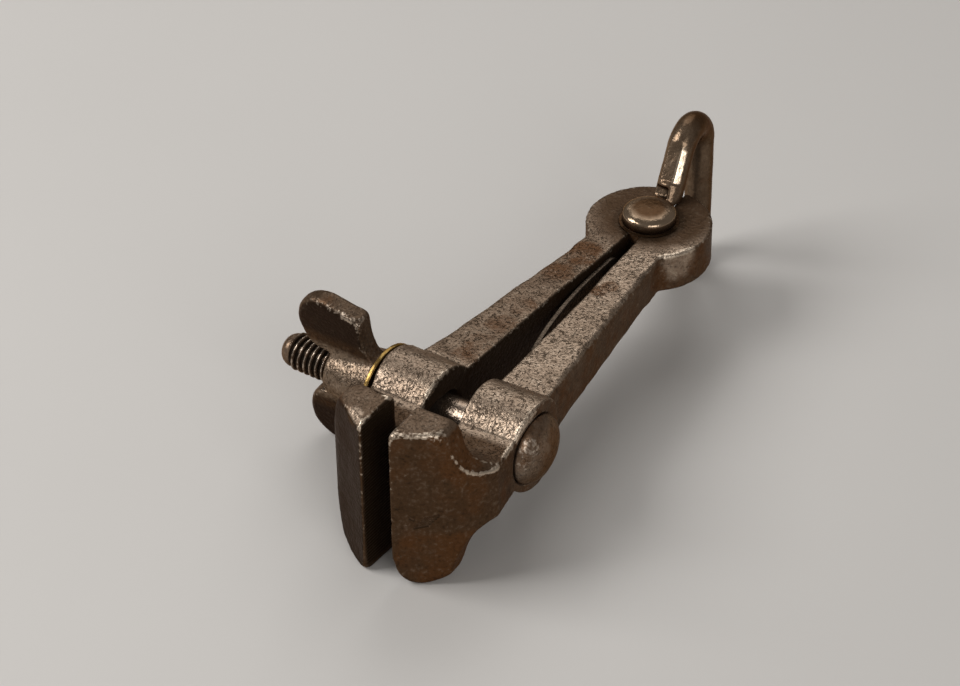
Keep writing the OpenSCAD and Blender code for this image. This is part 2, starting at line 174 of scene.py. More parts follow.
class Graph:
    """Node tree of one material, with its Principled shader."""

    FEATURE = 0.5
    LAYER_WEIGHT = 0.55

    def __init__(self, name: str) -> None:
        """Starts a material with a Principled shader and its Object coordinates in millimetres.

        Args:
            name: Name of the material.
        """
        self.material = bpy.data.materials.new(name)
        self.material.use_nodes = True
        self.tree = self.material.node_tree
        self.shader = next(n for n in self.tree.nodes if n.type == "BSDF_PRINCIPLED")
        place = self.node("ShaderNodeTexCoord", {}, {}, "Object")
        self.place = self.node(
            "ShaderNodeVectorMath", {"operation": "SCALE"}, {"Vector": place, "Scale": 1 / MM}
        )

    def wire(self, inputs: Any, values: dict[Any, Value]) -> None:
        """Sets or links the inputs of a node.

        Args:
            inputs: The node's inputs.
            values: Values or links by the input's name or number.
        """
        for key, value in values.items():
            if isinstance(value, Signal):
                self.tree.links.new(value.socket, inputs[key])
            else:
                inputs[key].default_value = value

    def node(
        self, kind: str, settings: dict[str, Any], sockets: dict[Any, Value], out: Any = 0
    ) -> Signal:
        """Adds a node of any type.

        Args:
            kind: Blender's name of the node type.
            settings: Properties of the node, set first.
            sockets: Values or links by the input's name or number.
            out: Name or number of the output that is returned.

        Returns:
            The chosen output.
        """
        made = self.tree.nodes.new(kind)
        for key, value in settings.items():
            setattr(made, key, value)
        self.wire(made.inputs, sockets)
        return Signal(self, made.outputs[out])

    def mark(self, mark: Mark) -> Signal:
        """Reads one of the per-vertex marks."""
        return self.node("ShaderNodeAttribute", {"attribute_name": mark.value}, {}, "Fac")

    def stretched(self, factors: Sequence[float]) -> Signal:
        """Object coordinates in millimetres, scaled along each axis."""
        sockets = {0: self.place, 1: tuple(factors)}
        return self.node("ShaderNodeVectorMath", {"operation": "MULTIPLY"}, sockets)

    def noise(
        self, size: float, detail: float, shift: float, place: Signal | None = None
    ) -> Signal:
        """Noise whose features are about a size.

        Args:
            size: Size of the features in millimetres.
            detail: Number of finer layers.
            shift: Fourth coordinate, which tells one noise from another.
            place: Coordinates to read, or the object's own.

        Returns:
            Noise from 0 to 1 round its mean.
        """
        sockets = {
            "Vector": place or self.place,
            "W": shift,
            "Scale": self.FEATURE / size,
            "Detail": detail,
            "Roughness": self.LAYER_WEIGHT,
        }
        return self.node("ShaderNodeTexNoise", {"noise_dimensions": "4D"}, sockets)

    def mix(self, share: Value, first: Value, second: Value) -> Signal:
        """Mixes two colours.

        Args:
            share: Share of the second colour.
            first: Colour at 0.
            second: Colour at 1.

        Returns:
            The mixed colour.
        """
        ends = [c if isinstance(c, Signal) else (*c, 1.0) for c in (first, second)]
        return self.node(
            "ShaderNodeMix", {"data_type": "RGBA"}, {"Factor": share, 6: ends[0], 7: ends[1]}, 2
        )

    def feed(self, **links: Value) -> bpy.types.Material:
        """Feeds the Principled shader's sockets.

        Args:
            **links: Values or links by socket name, with _ for a space.

        Returns:
            The finished material.
        """
        self.wire(self.shader.inputs, {key.replace("_", " "): value for key, value in links.items()})
        return self.material


@dataclass(frozen=True)
class AgedMetal:
    """Finish of old metal: clean and stained skin, rust, pits, grime in hollows and rubbed edges, and the
    painted shade, painted light and painted highlights that its marks carry, with painted glints on clean
    metal.
    """

    name: str
    clean: Colour
    stain: Colour
    rust: Colour
    dark: Colour
    bright: Colour
    rough: float = 0.42
    metal: float = 0.35
    pit_share: float = 0.75
    pit_depth: float = 0.05
    relief: float = 1.0
    fleck: float = 0.35
    broken: float = 2.2
    streak: float = 0.2
    gloss: float = 0.06
    gloss_tint: Colour = (0.62, 0.46, 0.35)

    def material(self) -> bpy.types.Material:
        """Builds the finish.

        Returns:
            The material.
        """
        graph = Graph(self.name)
        wear, hollow, clean, pitted, rusty = (graph.mark(mark) for mark in Mark)
        cloud = graph.noise(6.0, 4.0, 1.3) - NOISE_MEAN
        mottle = graph.noise(1.1, 3.0, 4.1) - NOISE_MEAN
        beads = graph.noise(0.32, 2.0, 6.5) - NOISE_MEAN
        flecks = graph.noise(0.20, 3.0, 7.7) - NOISE_MEAN
        streaks = graph.noise(0.4, 2.0, 3.9, graph.stretched((1.0, 1.0, 0.12))) - NOISE_MEAN
        veins = graph.noise(0.42, 1.0, 5.2).apart(NOISE_MEAN).rise(0.05, 0.015)
        patches = graph.noise(0.5, 1.0, 9.4).rise(0.49, 0.58)
        pocks = graph.noise(0.22, 2.0, 2.2).rise(0.44, 0.34)
        bloom = graph.noise(2.4, 5.0, 12.6)

        pits = pocks.larger(veins * patches) * pitted
        # Clean metal, which the clean mark also uses as painted light on the heel's side, the screw's shank
        # and the rivet's rims.
        cleaned_and_lit = (clean * (cloud * 1.1 + mottle * 0.9 + 1.0)).within()
        rusted = (bloom + (rusty - 0.5) * 0.5).rise(0.42, 0.74)
        # Rubbed bright metal, which the wear mark also uses as painted highlights on the screw's head, the
        # loop's strip and the jaw's nicks.
        rubbed = (wear + beads * self.broken).rise(0.45, 1.0)
        speckle = flecks * 1.7 + mottle * 0.8
        grain = beads * 1.6 + mottle

        sheen = tuple(0.65 * s + 0.35 * c for s, c in zip(self.stain, self.clean))
        lit = grain.rise(0.0, 0.5) * (1.0 - cleaned_and_lit) * (self.fleck * 1.5)
        glint = speckle.rise(0.0, 0.45) * cleaned_and_lit * (self.fleck * 1.8)
        runs = streaks.rise(0.0, 0.2) * (1.0 - clean) * self.streak
        shade = (grain.rise(0.0, -0.5) * (self.fleck * 1.7)).larger(runs)
        # The hollow mark darkens as grime and also as painted shade: on the inner faces between the legs,
        # on the left jaw's bevel, below the nicks, in the loop's notch, under the rivet's heads and on the
        # washer under the nut.
        dirt_and_shade = (pits * self.pit_share).larger(hollow * 0.88).larger(shade)

        skin = graph.mix(cleaned_and_lit, self.stain, self.clean)
        skin = graph.mix(rusted * 0.75, skin, self.rust)
        skin = graph.mix(lit, skin, sheen)
        skin = graph.mix(glint, skin, self.bright)
        skin = graph.mix(dirt_and_shade, skin, self.dark)
        skin = graph.mix(rubbed, skin, self.bright)

        # Metal is worn bright where rubbed or clean; the painted highlights and painted light are among
        # those places.
        bare_and_painted_light = rubbed.larger(cleaned_and_lit)
        rough = mottle * 0.25 + self.rough + rusted * 0.1 + pits * 0.15 - bare_and_painted_light * 0.1
        height = mottle * 0.14 + (flecks * 0.03 + beads * 0.16) * self.relief
        height = height + streaks * 0.01 - pits * self.pit_depth
        bump = graph.node("ShaderNodeBump", {}, {"Strength": 1.0, "Distance": MM, "Height": height})
        return graph.feed(
            Base_Color=skin,
            Roughness=rough.within(),
            Metallic=(bare_and_painted_light * (1.0 - self.metal) + self.metal).within(),
            Specular_IOR_Level=self.gloss,
            Specular_Tint=(*self.gloss_tint, 1.0),
            Normal=bump,
        )


FORGED = AgedMetal(
    "forged_steel",
    clean=(0.375, 0.285, 0.212),
    stain=(0.068, 0.036, 0.0175),
    rust=(0.105, 0.043, 0.015),
    dark=(0.014, 0.009, 0.005),
    bright=(0.54, 0.44, 0.34),
)
BRONZED = AgedMetal(
    "bronzed_steel",
    clean=(0.37, 0.27, 0.185),
    stain=(0.066, 0.034, 0.016),
    rust=(0.085, 0.036, 0.013),
    dark=(0.013, 0.009, 0.006),
    bright=(0.64, 0.51, 0.38),
    rough=0.27,
    metal=0.6,
    pit_depth=0.01,
    relief=0.25,
    fleck=0.15,
    broken=0.5,
    streak=0.0,
)
NUT_STEEL = AgedMetal(
    "browned_steel",
    clean=(0.33, 0.245, 0.175),
    stain=(0.046, 0.025, 0.013),
    rust=(0.095, 0.042, 0.017),
    dark=(0.012, 0.008, 0.006),
    bright=(0.46, 0.37, 0.29),
    rough=0.36,
    metal=0.5,
    streak=0.1,
)
THREAD_STEEL = AgedMetal(
    "thread_steel",
    clean=(0.37, 0.29, 0.225),
    stain=(0.085, 0.046, 0.022),
    rust=(0.125, 0.054, 0.019),
    dark=(0.006, 0.005, 0.004),
    bright=(0.50, 0.41, 0.33),
    rough=0.30,
    metal=0.6,
    pit_depth=0.03,
    relief=0.3,
    fleck=0.25,
    streak=0.0,
)
SPRING_STEEL = AgedMetal(
    "spring_steel",
    clean=(0.22, 0.175, 0.135),
    stain=(0.055, 0.039, 0.027),
    rust=(0.070, 0.034, 0.016),
    dark=(0.012, 0.009, 0.007),
    bright=(0.30, 0.24, 0.18),
    metal=0.6,
    pit_depth=0.02,
    streak=0.1,
)
BRASS = AgedMetal(
    "old_brass",
    clean=(0.31, 0.195, 0.062),
    stain=(0.20, 0.12, 0.036),
    rust=(0.15, 0.08, 0.024),
    dark=(0.06, 0.034, 0.012),
    bright=(0.48, 0.33, 0.12),
    rough=0.36,
    metal=0.9,
    pit_depth=0.01,
    relief=0.3,
    fleck=0.2,
    streak=0.0,
)


def new_object(name: str, data: Any) -> bpy.types.Object:
    """Links a new object at the origin.

    Args:
        name: Name of the object.
        data: Its mesh, lamp or camera.

    Returns:
        The object.
    """
    made = bpy.data.objects.new(name, data)
    bpy.context.scene.collection.objects.link(made)
    return made


def from_bmesh(name: str, bm: bmesh.types.BMesh) -> bpy.types.Object:
    """Makes an object of a bmesh whose places are in millimetres, with smooth shading.

    Args:
        name: Name of the object.
        bm: The bmesh, which is freed.

    Returns:
        The object.
    """
    bmesh.ops.scale(bm, vec=(MM, MM, MM), verts=bm.verts)
    mesh = bpy.data.meshes.new(name)
    bm.to_mesh(mesh)
    bm.free()
    mesh.shade_smooth()
    return new_object(name, mesh)


def remeshed_copy(node: str, name: str, voxel: float) -> bpy.types.Object:
    """Copies a CAD node and remeshes it evenly.

    Args:
        node: Name of the node.
        name: Name of the new object.
        voxel: Size of the new faces in millimetres.

    Returns:
        The new object.
    """
    mesh = frame["nodes"][node].data.copy()
    mesh.materials.clear()
    bm = bmesh.new()
    bm.from_mesh(mesh)
    bmesh.ops.remove_doubles(bm, verts=bm.verts, dist=WELD_M)
    bm.to_mesh(mesh)
    bm.free()
    made = new_object(name, mesh)
    modifier = made.modifiers.new("even", "REMESH")
    modifier.mode = "VOXEL"
    modifier.voxel_size = voxel * MM
    modifier.use_smooth_shade = True
    graph = bpy.context.evaluated_depsgraph_get()
    even = bpy.data.meshes.new_from_object(made.evaluated_get(graph))
    made.modifiers.clear()
    made.data = even
    bpy.data.meshes.remove(mesh)
    even.name = name
    return made


def joint_place(joint: Joint) -> Vector:
    """Anchor of a joint in millimetres."""
    found = next(j for j in frame["joints"] if j["name"] == joint.value)
    return Vector(found["pos_m"]) / MM


def turned_place(joint: Joint, degrees: float, axis: Axis) -> Matrix:
    """Turn and shift to the vise's frame from a piece's own, whose origin is a joint's anchor."""
    return Matrix.Translation(joint_place(joint)) @ Matrix.Rotation(math.radians(degrees), 4, axis.value)


def soft_step(values: np.ndarray, low: Amount, high: Amount) -> np.ndarray:
    """Smooth rise from 0 at low to 1 at high, or a fall where high is below low."""
    share = np.clip((values - low) / (high - low), 0.0, 1.0)
    return share * share * (3.0 - 2.0 * share)


@dataclass(frozen=True)
class Spot:
    """A place on a piece, in the piece's own frame, and how strongly it is marked or dented."""

    centre: Place
    radius: float
    level: float = 1.0


@dataclass(frozen=True)
class Nick:
    """A short cut between two places on a piece."""

    start: Place
    end: Place
    width: float = 0.24
    depth: float = 0.26


@dataclass(frozen=True)
class Facet:
    """A flat worn on a corner: a place on it, the way it faces and how far it reaches."""

    centre: Place
    facing: Place
    reach: float


def near(points: np.ndarray, spots: Iterable[Spot], core: float = 0.45) -> np.ndarray:
    """Level of the strongest spot at each point.

    Args:
        points: Places in the piece's own frame.
        spots: The spots.
        core: Share of a spot's radius that has its full level.

    Returns:
        Levels, 0 away from every spot.
    """
    level = np.zeros(len(points))
    for spot in spots:
        apart = np.linalg.norm(points - np.array(spot.centre), axis=1)
        level = np.maximum(level, spot.level * soft_step(apart, spot.radius, core * spot.radius))
    return level


def along_nicks(points: np.ndarray, nicks: Iterable[Nick], core: float = 0.2) -> np.ndarray:
    """Depth of the deepest nick at each point.

    Args:
        points: Places in the piece's own frame.
        nicks: The nicks.
        core: Share of a nick's width that has its full depth.

    Returns:
        Depths, 0 away from every nick.
    """
    depth = np.zeros(len(points))
    for nick in nicks:
        start = np.array(nick.start)
        run = np.array(nick.end) - start
        share = np.clip((points - start) @ run / (run @ run), 0.0, 1.0)
        apart = np.linalg.norm(points - start - share[:, None] * run, axis=1)
        depth = np.maximum(depth, nick.depth * soft_step(apart, nick.width, core * nick.width))
    return depth


def row_of_nicks(first: Nick, step: Place, count: int) -> tuple[Nick, ...]:
    """Repeats a nick at even steps.

    Args:
        first: The first nick.
        step: Shift from one nick to the next.
        count: Number of nicks.

    Returns:
        The nicks.
    """
    made = []
    for i in range(count):
        ends = [tuple(c + i * s for c, s in zip(end, step)) for end in (first.start, first.end)]
        made.append(Nick(*ends, first.width, first.depth))
    return tuple(made)


class Workpiece:
    """A dense mesh under work, with its vertices as an array in millimetres in its own frame."""

    REFRESH = 5
    SLIDE = 0.4
    PUSH = 0.8
    SETTLE = 0.6
    IN_AND_OUT = (0.5, -0.51)
    UPRIGHT = 0.8

    def __init__(self, obj: bpy.types.Object, place: Matrix) -> None:
        """Reads the mesh into its own frame.

        Args:
            obj: Object at the origin.
            place: Turn and shift from the piece's own frame, in millimetres, to the vise's.
        """
        self.obj = obj
        self.place = np.array(place)
        self.read()

    def read(self) -> None:
        """Reads the vertices, edges and neighbours from the mesh."""
        mesh = self.obj.data
        self.count = len(mesh.vertices)
        flat = np.empty(self.count * 3)
        mesh.vertices.foreach_get("co", flat)
        self.points = (flat.reshape(-1, 3) / MM - self.place[:3, 3]) @ self.place[:3, :3]
        ends = np.empty(len(mesh.edges) * 2, np.int64)
        mesh.edges.foreach_get("vertices", ends)
        self.first, self.second = ends.reshape(-1, 2).T
        once = np.ones(len(mesh.edges))
        self.links = self.gather(once, once)

    def write(self) -> None:
        """Writes the vertices back to the mesh, in the vise's frame and in metres."""
        moved = (self.points @ self.place[:3, :3].T + self.place[:3, 3]) * MM
        self.obj.data.vertices.foreach_set("co", moved.ravel())
        self.obj.data.update()

    def normals(self) -> np.ndarray:
        """Writes the mesh and reads its normals.

        Returns:
            Vertex normals in the piece's own frame.
        """
        self.write()
        flat = np.empty(self.count * 3)
        self.obj.data.vertex_normals.foreach_get("vector", flat)
        return flat.reshape(-1, 3) @ self.place[:3, :3]

    def gather(self, to_first: np.ndarray, to_second: np.ndarray) -> np.ndarray:
        """Sums one value of each edge at its first vertex and another at its second.

        Args:
            to_first: Values that go to the edges' first vertices.
            to_second: Values that go to their second vertices.

        Returns:
            The sum at each vertex.
        """
        total = np.bincount(self.first, to_first, self.count)
        return total + np.bincount(self.second, to_second, self.count)

    def average(self, values: np.ndarray) -> np.ndarray:
        """Averages each vertex's neighbours.

        Args:
            values: One or more columns of values at the vertices.

        Returns:
            The means, in the same shape.
        """
        columns = values.reshape(self.count, -1)
        total = np.empty_like(columns)
        for i, column in enumerate(columns.T):
            total[:, i] = self.gather(column[self.second], column[self.first])
        return (total / self.links[:, None]).reshape(values.shape)

    def round_off(self, edge_r: Amount, hollow_r: Amount, rounds: int) -> None:
        """Wears edges and fills hollows until they have these radii.

        Args:
            edge_r: Radius of the edges in millimetres.
            hollow_r: Radius of the hollows in millimetres.
            rounds: Number of small steps.
        """
        for i in range(rounds):
            if i % self.REFRESH == 0:
                normals = self.normals()
                apart = ((self.points[self.first] - self.points[self.second]) ** 2).sum(1)
                # A round edge of radius r stands off the mean of its neighbours by spread / r.
                spread = self.gather(apart, apart) / (4 * self.links)
            off = self.average(self.points) - self.points
            bend = (off * normals).sum(1)
            step = np.maximum(bend - spread / hollow_r, 0) + np.minimum(bend + spread / edge_r, 0)
            self.points += self.SLIDE * off + normals * (self.PUSH * step - self.SLIDE * bend)[:, None]

    def even_out(self, rounds: int) -> None:
        """Smooths the whole surface a little without shrinking it.

        Args:
            rounds: Number of pairs of steps in and out.
        """
        for _ in range(rounds):
            for share in self.IN_AND_OUT:
                self.points += share * (self.average(self.points) - self.points)

    def noise(self, size: float, seed: float, layers: int = 3) -> np.ndarray:
        """Noise at the vertices.

        Args:
            size: Size of the features in millimetres.
            seed: Shift that tells one noise from another.
            layers: Number of finer layers.

        Returns:
            Values round 0.
        """
        scaled = self.points / size + seed
        return np.array([noise.fractal(p, 1.0, 2.0, layers) for p in scaled.tolist()])

    def press(self, depth: np.ndarray) -> None:
        """Presses the surface in by a depth at each vertex."""
        self.points -= self.normals() * depth[:, None]

    def refine(self, chosen: np.ndarray, cuts: int, upright: bool = False) -> None:
        """Splits the edges between chosen vertices.

        Args:
            chosen: Whether each vertex is chosen.
            cuts: Number of cuts in each edge.
            upright: Whether only upright edges are cut.
        """
        self.write()
        bm = bmesh.new()
        bm.from_mesh(self.obj.data)
        edges = [e for e in bm.edges if chosen[e.verts[0].index] and chosen[e.verts[1].index]]
        if upright:
            rises = [abs(e.verts[0].co.z - e.verts[1].co.z) for e in edges]
            edges = [e for e, rise in zip(edges, rises) if rise > self.UPRIGHT * e.calc_length()]
        bmesh.ops.subdivide_edges(bm, edges=edges, cuts=cuts, use_grid_fill=True)
        bm.to_mesh(self.obj.data)
        bm.free()
        self.obj.data.shade_smooth()
        self.read()

    def relief(self, rounds: int) -> np.ndarray:
        """Height of the surface over its own smoothed form, in millimetres.

        Args:
            rounds: Number of smoothing rounds, which sets the width that is compared.

        Returns:
            Heights, positive on edges and negative in hollows.
        """
        smooth = self.points.copy()
        for _ in range(rounds):
            smooth += self.SETTLE * (self.average(smooth) - smooth)
        return ((self.points - smooth) * self.normals()).sum(1)

    def keep(self, name: str, values: np.ndarray) -> None:
        """Stores per-vertex values, which follow the mesh when its edges are split."""
        layer = self.obj.data.attributes.new(name, "FLOAT", "POINT")
        layer.data.foreach_set("value", values.astype(np.float32))

    def recall(self, name: str) -> np.ndarray:
        """Takes stored per-vertex values back.

        Args:
            name: Name under which they were stored.

        Returns:
            The values.
        """
        layer = self.obj.data.attributes[name]
        values = np.empty(self.count, np.float32)
        layer.data.foreach_get("value", values)
        self.obj.data.attributes.remove(layer)
        return values.astype(float)

    def marks(self, values: dict[Mark, Amount]) -> None:
        """Stores the marks for the finish, each an array or one value for all vertices."""
        for mark, value in values.items():
            self.keep(mark.value, np.clip(np.broadcast_to(value, self.count), 0.0, 1.0))


@dataclass
class Fitting:
    """Base of the vise's pieces: what a piece stands for and what carries it."""

    piece: str
    nodes: tuple[str, ...]
    body: str
    slot: str
    finish: AgedMetal

    def build(self) -> bpy.types.Object:
        """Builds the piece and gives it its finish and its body.

        Returns:
            The finished object.
        """
        obj = self.shape()
        obj.data.materials.clear()
        obj.data.materials.append(self.finish.material())
        self.carry(obj)
        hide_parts(*self.nodes)
        triangles = sum(len(p.vertices) - 2 for p in obj.data.polygons)
        LOG.info("%s: %d triangles on %s", obj.name, triangles, self.body)
        return obj

    def shape(self) -> bpy.types.Object:
        """Makes the piece's mesh with its marks, which each kind of piece does in its own way."""
        raise NotImplementedError

    def carry(self, obj: bpy.types.Object) -> None:
        """Makes the piece move with its body."""
        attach(obj, self.body)


@dataclass
class ForgedLeg(Fitting):
    """One forged leg: jaw, neck, boss, tapered bar and half of the round heel.

    Places on a leg are counted out from the gripping plane, along from the pivot (the jaws are at
    minus) and up from the middle of the vise.
    """

    side: Side = Side.RIGHT
    lean: float = 3.2
    voxel: float = 0.30
    edge_r: float = 0.4
    bar_r: float = 1.2
    lobe_r: float = 1.3
    low_r: float = 0.6
    hollow_r: float = 0.9
    heel_fillet: float = 2.5
    throat_r: float = 3.0
    jaw_reach: float = 89.4
    jaw_depth: float = 10.0
    jaw_up: float = 15.3
    jaw_down: float = 16.7
    screw_back: float = 63.1
    boss_r: float = 8.4
    boss_root: float = 2.2
    boss_out: float = 12.9
    crown_r: float = 40.0
    crown_h: float = 1.6
    heel_r: float = 11.65
    bar_out: float = 7.0
    bar_from: float = 12.0
    bar_taper: float = 0.08
    eye_ring: float = 5.8
    tooth_pitch: float = 0.65
    tooth_depth: float = 0.16
    bar_clean: float = 0.72
    boss_clean: float = 0.76
    bevel_painted_shade: float = 0.0
    chip: float = 0.25
    nick_shadow_drop: float = 0.28
    seed: float = 3.0
    facets: tuple[Facet, ...] = ()
    dents: tuple[Spot, ...] = ()
    nicks: tuple[Nick, ...] = ()
    rubs: tuple[Spot, ...] = ()
    bare_and_painted_light: tuple[Spot, ...] = ()
    stains: tuple[Spot, ...] = ()

    WEAR_ROUNDS = 220
    EDGE_ROUNDS = 16
    FORM_ROUNDS = 40
    TRUE_GAP = 0.12
    TRUE_FACING = 0.93

    def shape(self) -> bpy.types.Object:
        """Works the leg up from its CAD node.

        Returns:
            The marked object.
        """
        work = Workpiece(
            remeshed_copy(self.nodes[0], self.piece, self.voxel),
            turned_place(Joint.LEG, self.lean * self.side.value, Axis.Z),
        )
        self.true_up(work)
        self.flatten(work)
        self.wear_down(work)
        work.keep("edge", work.relief(self.EDGE_ROUNDS))
        work.keep("relief", work.relief(self.FORM_ROUNDS))
        self.scar(work)
        self.cut_teeth(work)
        self.mark(work)
        return work.obj

    def handed(self, work: Workpiece) -> np.ndarray:
        """Vertices as out, along and up."""
        return work.points * np.array((self.side.value, 1.0, 1.0))

    def true_up(self, work: Workpiece) -> None:
        """Brings the boss, the heel and the boss's crown to true rounds.

        Args:
            work: The leg under work.
        """
        normals = work.normals()
        out = work.points[:, 0] * self.side.value
        crown = ((self.boss_out - self.crown_r) * self.side.value, -self.screw_back)
        boss_zone = (out > self.boss_root) & (out < self.boss_out)
        rounds = (
            ((1, 2), (-self.screw_back, 0.0), self.boss_r, boss_zone),
            ((0, 1), (0.0, 0.0), self.heel_r, np.full(work.count, True)),
            ((0, 1), crown, self.crown_r, out > self.boss_out - self.crown_h),
        )
        for axes, centre, radius, zone in rounds:
            arm = work.points[:, axes] - np.array(centre)
            length = np.maximum(np.linalg.norm(arm, axis=1), TINY)
            facing = (arm * normals[:, axes]).sum(1) / length
            hit = zone & (np.abs(length - radius) < self.TRUE_GAP) & (facing > self.TRUE_FACING)
            scale = np.where(hit, radius / length, 1.0)
            work.points[:, axes] = np.array(centre) + arm * scale[:, None]

    def flatten(self, work: Workpiece) -> None:
        """Wears the facets flat.

        Args:
            work: The leg under work.
        """
        points = self.handed(work)
        for facet in self.facets:
            facing = np.array(facet.facing) / np.linalg.norm(facet.facing)
            off = points - np.array(facet.centre)
            beyond = np.maximum(off @ facing, 0.0) * (np.linalg.norm(off, axis=1) < facet.reach)
            points -= beyond[:, None] * facing
        work.points = points * np.array((self.side.value, 1.0, 1.0))

    def edge_radius(self, work: Workpiece) -> np.ndarray:
        """Finds how far the edges are worn: most on the jaw's lobes and the bar's outer edges.

        Args:
            work: The leg under work.

        Returns:
            Radius of an edge at each vertex in millimetres.
        """
        out, along, up = self.handed(work).T
        jaw_back = self.jaw_depth - self.jaw_reach
        jaw = soft_step(along, jaw_back + 1.4, jaw_back - 0.6)
        lobe = jaw * soft_step(np.abs(up), 6.0, 8.0)
        behind = soft_step(along, -83.5, -81.0) * soft_step(out, 0.8, 2.5)
        corner = soft_step(np.abs(up), 11.5, 13.5) * soft_step(out, 4.5, 6.5)
        radius = self.edge_r + (self.lobe_r - self.edge_r) * lobe * np.maximum(corner, behind)
        radius = np.maximum(radius, self.low_r * jaw * soft_step(up, -9.5, -12.5))
        past_bar = out - self.bar_out - self.bar_taper * (-along - self.bar_from)
        bar = soft_step(along, -53.0, -50.0) * soft_step(along, -13.0, -16.0)
        bar *= soft_step(past_bar, -3.0, -2.0)
        return radius + (self.bar_r - radius) * bar

    def wear_down(self, work: Workpiece) -> None:
        """Rounds the edges as far as each is worn, and gives the skin its forged unevenness.

        Args:
            work: The leg under work.
        """
        along = work.points[:, 1]
        uneven = work.noise(3.5, self.seed)
        radius = self.edge_radius(work) * (1.0 + 0.35 * np.clip(uneven, -1, 1))
        hollow = self.hollow_r + (self.throat_r - self.hollow_r) * soft_step(along, -73.0, -76.0)
        hollow += (self.heel_fillet - hollow) * soft_step(along, -18.0, -14.0)
        work.round_off(radius, hollow, self.WEAR_ROUNDS)
        work.even_out(2)
        chips = np.clip(work.noise(1.3, self.seed + 7, 2), 0.0, 1.0)
        chips *= soft_step(work.noise(5.0, self.seed + 9), -0.1, 0.4)
        chips *= soft_step(work.relief(self.EDGE_ROUNDS), 0.03, 0.12)
        forging = 0.035 * work.noise(11.0, self.seed + 20) + 0.010 * uneven + self.chip * chips
        work.press(forging * (1.0 - self.grip(work)))
        work.write()

    def scar(self, work: Workpiece) -> None:
        """Presses the dents and cuts the nicks, on finer faces.

        Args:
            work: The leg under work.
        """
        points = self.handed(work)
        close = near(points, [Spot(dent.centre, dent.radius * 1.6) for dent in self.dents]) > 0
        close |= along_nicks(points, [Nick(n.start, n.end, n.width * 4) for n in self.nicks]) > 0
        work.refine(close, 2)
        points = self.handed(work)
        work.press(near(points, self.dents) + along_nicks(points, self.nicks))
        work.write()

    def cut_teeth(self, work: Workpiece) -> None:
        """Cuts the fine teeth across the gripping face.

        Args:
            work: The leg under work.
        """
        work.refine(self.grip(work) > 0.02, 2, upright=True)
        phase = work.points[:, 2] / self.tooth_pitch
        groove = np.abs(2.0 * (phase - np.floor(phase)) - 1.0)
        work.points[:, 0] += self.side.value * self.grip(work) * self.tooth_depth * groove
        work.write()

    def grip(self, work: Workpiece) -> np.ndarray:
        """Share by which each vertex lies on the gripping face.

        Args:
            work: The leg under work.

        Returns:
            1 on the face, falling to 0 at its edges.
        """
        out, along, up = self.handed(work).T
        front, back = -self.jaw_reach, self.jaw_depth - self.jaw_reach
        depth = soft_step(along, front + 0.3, front + 1.0) * soft_step(along, back - 0.3, back - 1.0)
        height = soft_step(up, self.jaw_up - 0.5, self.jaw_up - 1.2)
        height *= soft_step(up, 0.5 - self.jaw_down, 1.2 - self.jaw_down)
        return depth * height * soft_step(out, 0.5, 0.3)

    def mark(self, work: Workpiece) -> None:
        """Marks wear, hollows, clean tops, pits and rust for the finish, and paints shade on the inner
        faces, on the left jaw's bevel and below the nicks, highlights in the nicks and light on the right
        heel's side.

        Args:
            work: The finished leg.
        """
        edge, relief = work.recall("edge"), work.recall("relief")
        points, normals, grip = self.handed(work), work.normals(), self.grip(work)
        out, along, up = points.T
        facing_out = normals[:, 0] * self.side.value
        top = soft_step(normals[:, 2], 0.4, 0.75)
        boss = soft_step(np.abs(along + self.screw_back), 9.5, 7.5)
        bar = soft_step(along, -56.5, -54.5)
        jaw = soft_step(along, -73.0, -77.0)
        heel = soft_step(np.hypot(out, along - 3.0), 14.5, 9.0)
        # Painted shade on the inner faces between the legs, away from the gripping face.
        inner_face_shade = soft_step(-facing_out, 0.35, 0.75) * (1.0 - grip)
        throat = jaw * soft_step(facing_out, 0.25, 0.6) * soft_step(np.abs(up), 4.5, 6.5)

        clean = np.maximum(0.06, np.maximum(self.bar_clean * bar, self.boss_clean * boss))
        clean += (0.05 - clean) * heel
        clean += (0.08 + 0.16 * soft_step(up, 11.0, 14.0) - clean) * jaw
        # Spots of worn bright metal on the left jaw, and a painted highlight on the right heel's side.
        clean = np.maximum(clean * (0.12 + 0.88 * top), near(points, self.bare_and_painted_light))

        rubbed = (0.26 + 0.14 * soft_step(up, -2.0, 6.0)) * soft_step(edge, 0.05, 0.16)
        rubbed += 0.62 * near(points, self.rubs) * soft_step(relief, 0.05, 0.22)

        ring = soft_step(np.abs(np.linalg.norm(points[:, :2], axis=1) - self.eye_ring), 1.2, 0.6)
        halo = top * (0.25 * heel + 0.3 * ring)
        # Painted shade on the jaw's outer bevel.
        bevel = self.bevel_painted_shade * jaw * soft_step(facing_out, 0.1, 0.3) * (1.0 - top)
        # Each nick is painted bright as a highlight on its lit facet, with a painted shadow just below it.
        cuts = along_nicks(points, self.nicks)
        nick_shadows = along_nicks(points + np.array((0.0, 0.0, self.nick_shadow_drop)), self.nicks)
        nick_shadows *= 1.0 - np.minimum(cuts * 8.0, 1.0)
        sunk = soft_step(-relief, 0.09, 0.3)

        pitted = (0.3 + 0.7 * top) * (1.0 - 0.7 * heel * top) * (1.0 - 0.4 * jaw)
        rusty = 0.12 + (1.0 - top) * (0.22 + 0.2 * soft_step(out, 3.0, 9.0)) + 0.35 * throat
        work.marks({
            Mark.WEAR: np.maximum(rubbed * (1.0 - grip), 2.9 * cuts),
            Mark.HOLLOW: np.maximum.reduce((sunk, 0.95 * grip, 0.85 * inner_face_shade, 3.5 * nick_shadows, halo, bevel)),
            Mark.CLEAN: clean,
            Mark.PITTED: pitted * (1.0 - grip),
            Mark.RUSTY: np.maximum(rusty, near(points, self.stains)),
        })


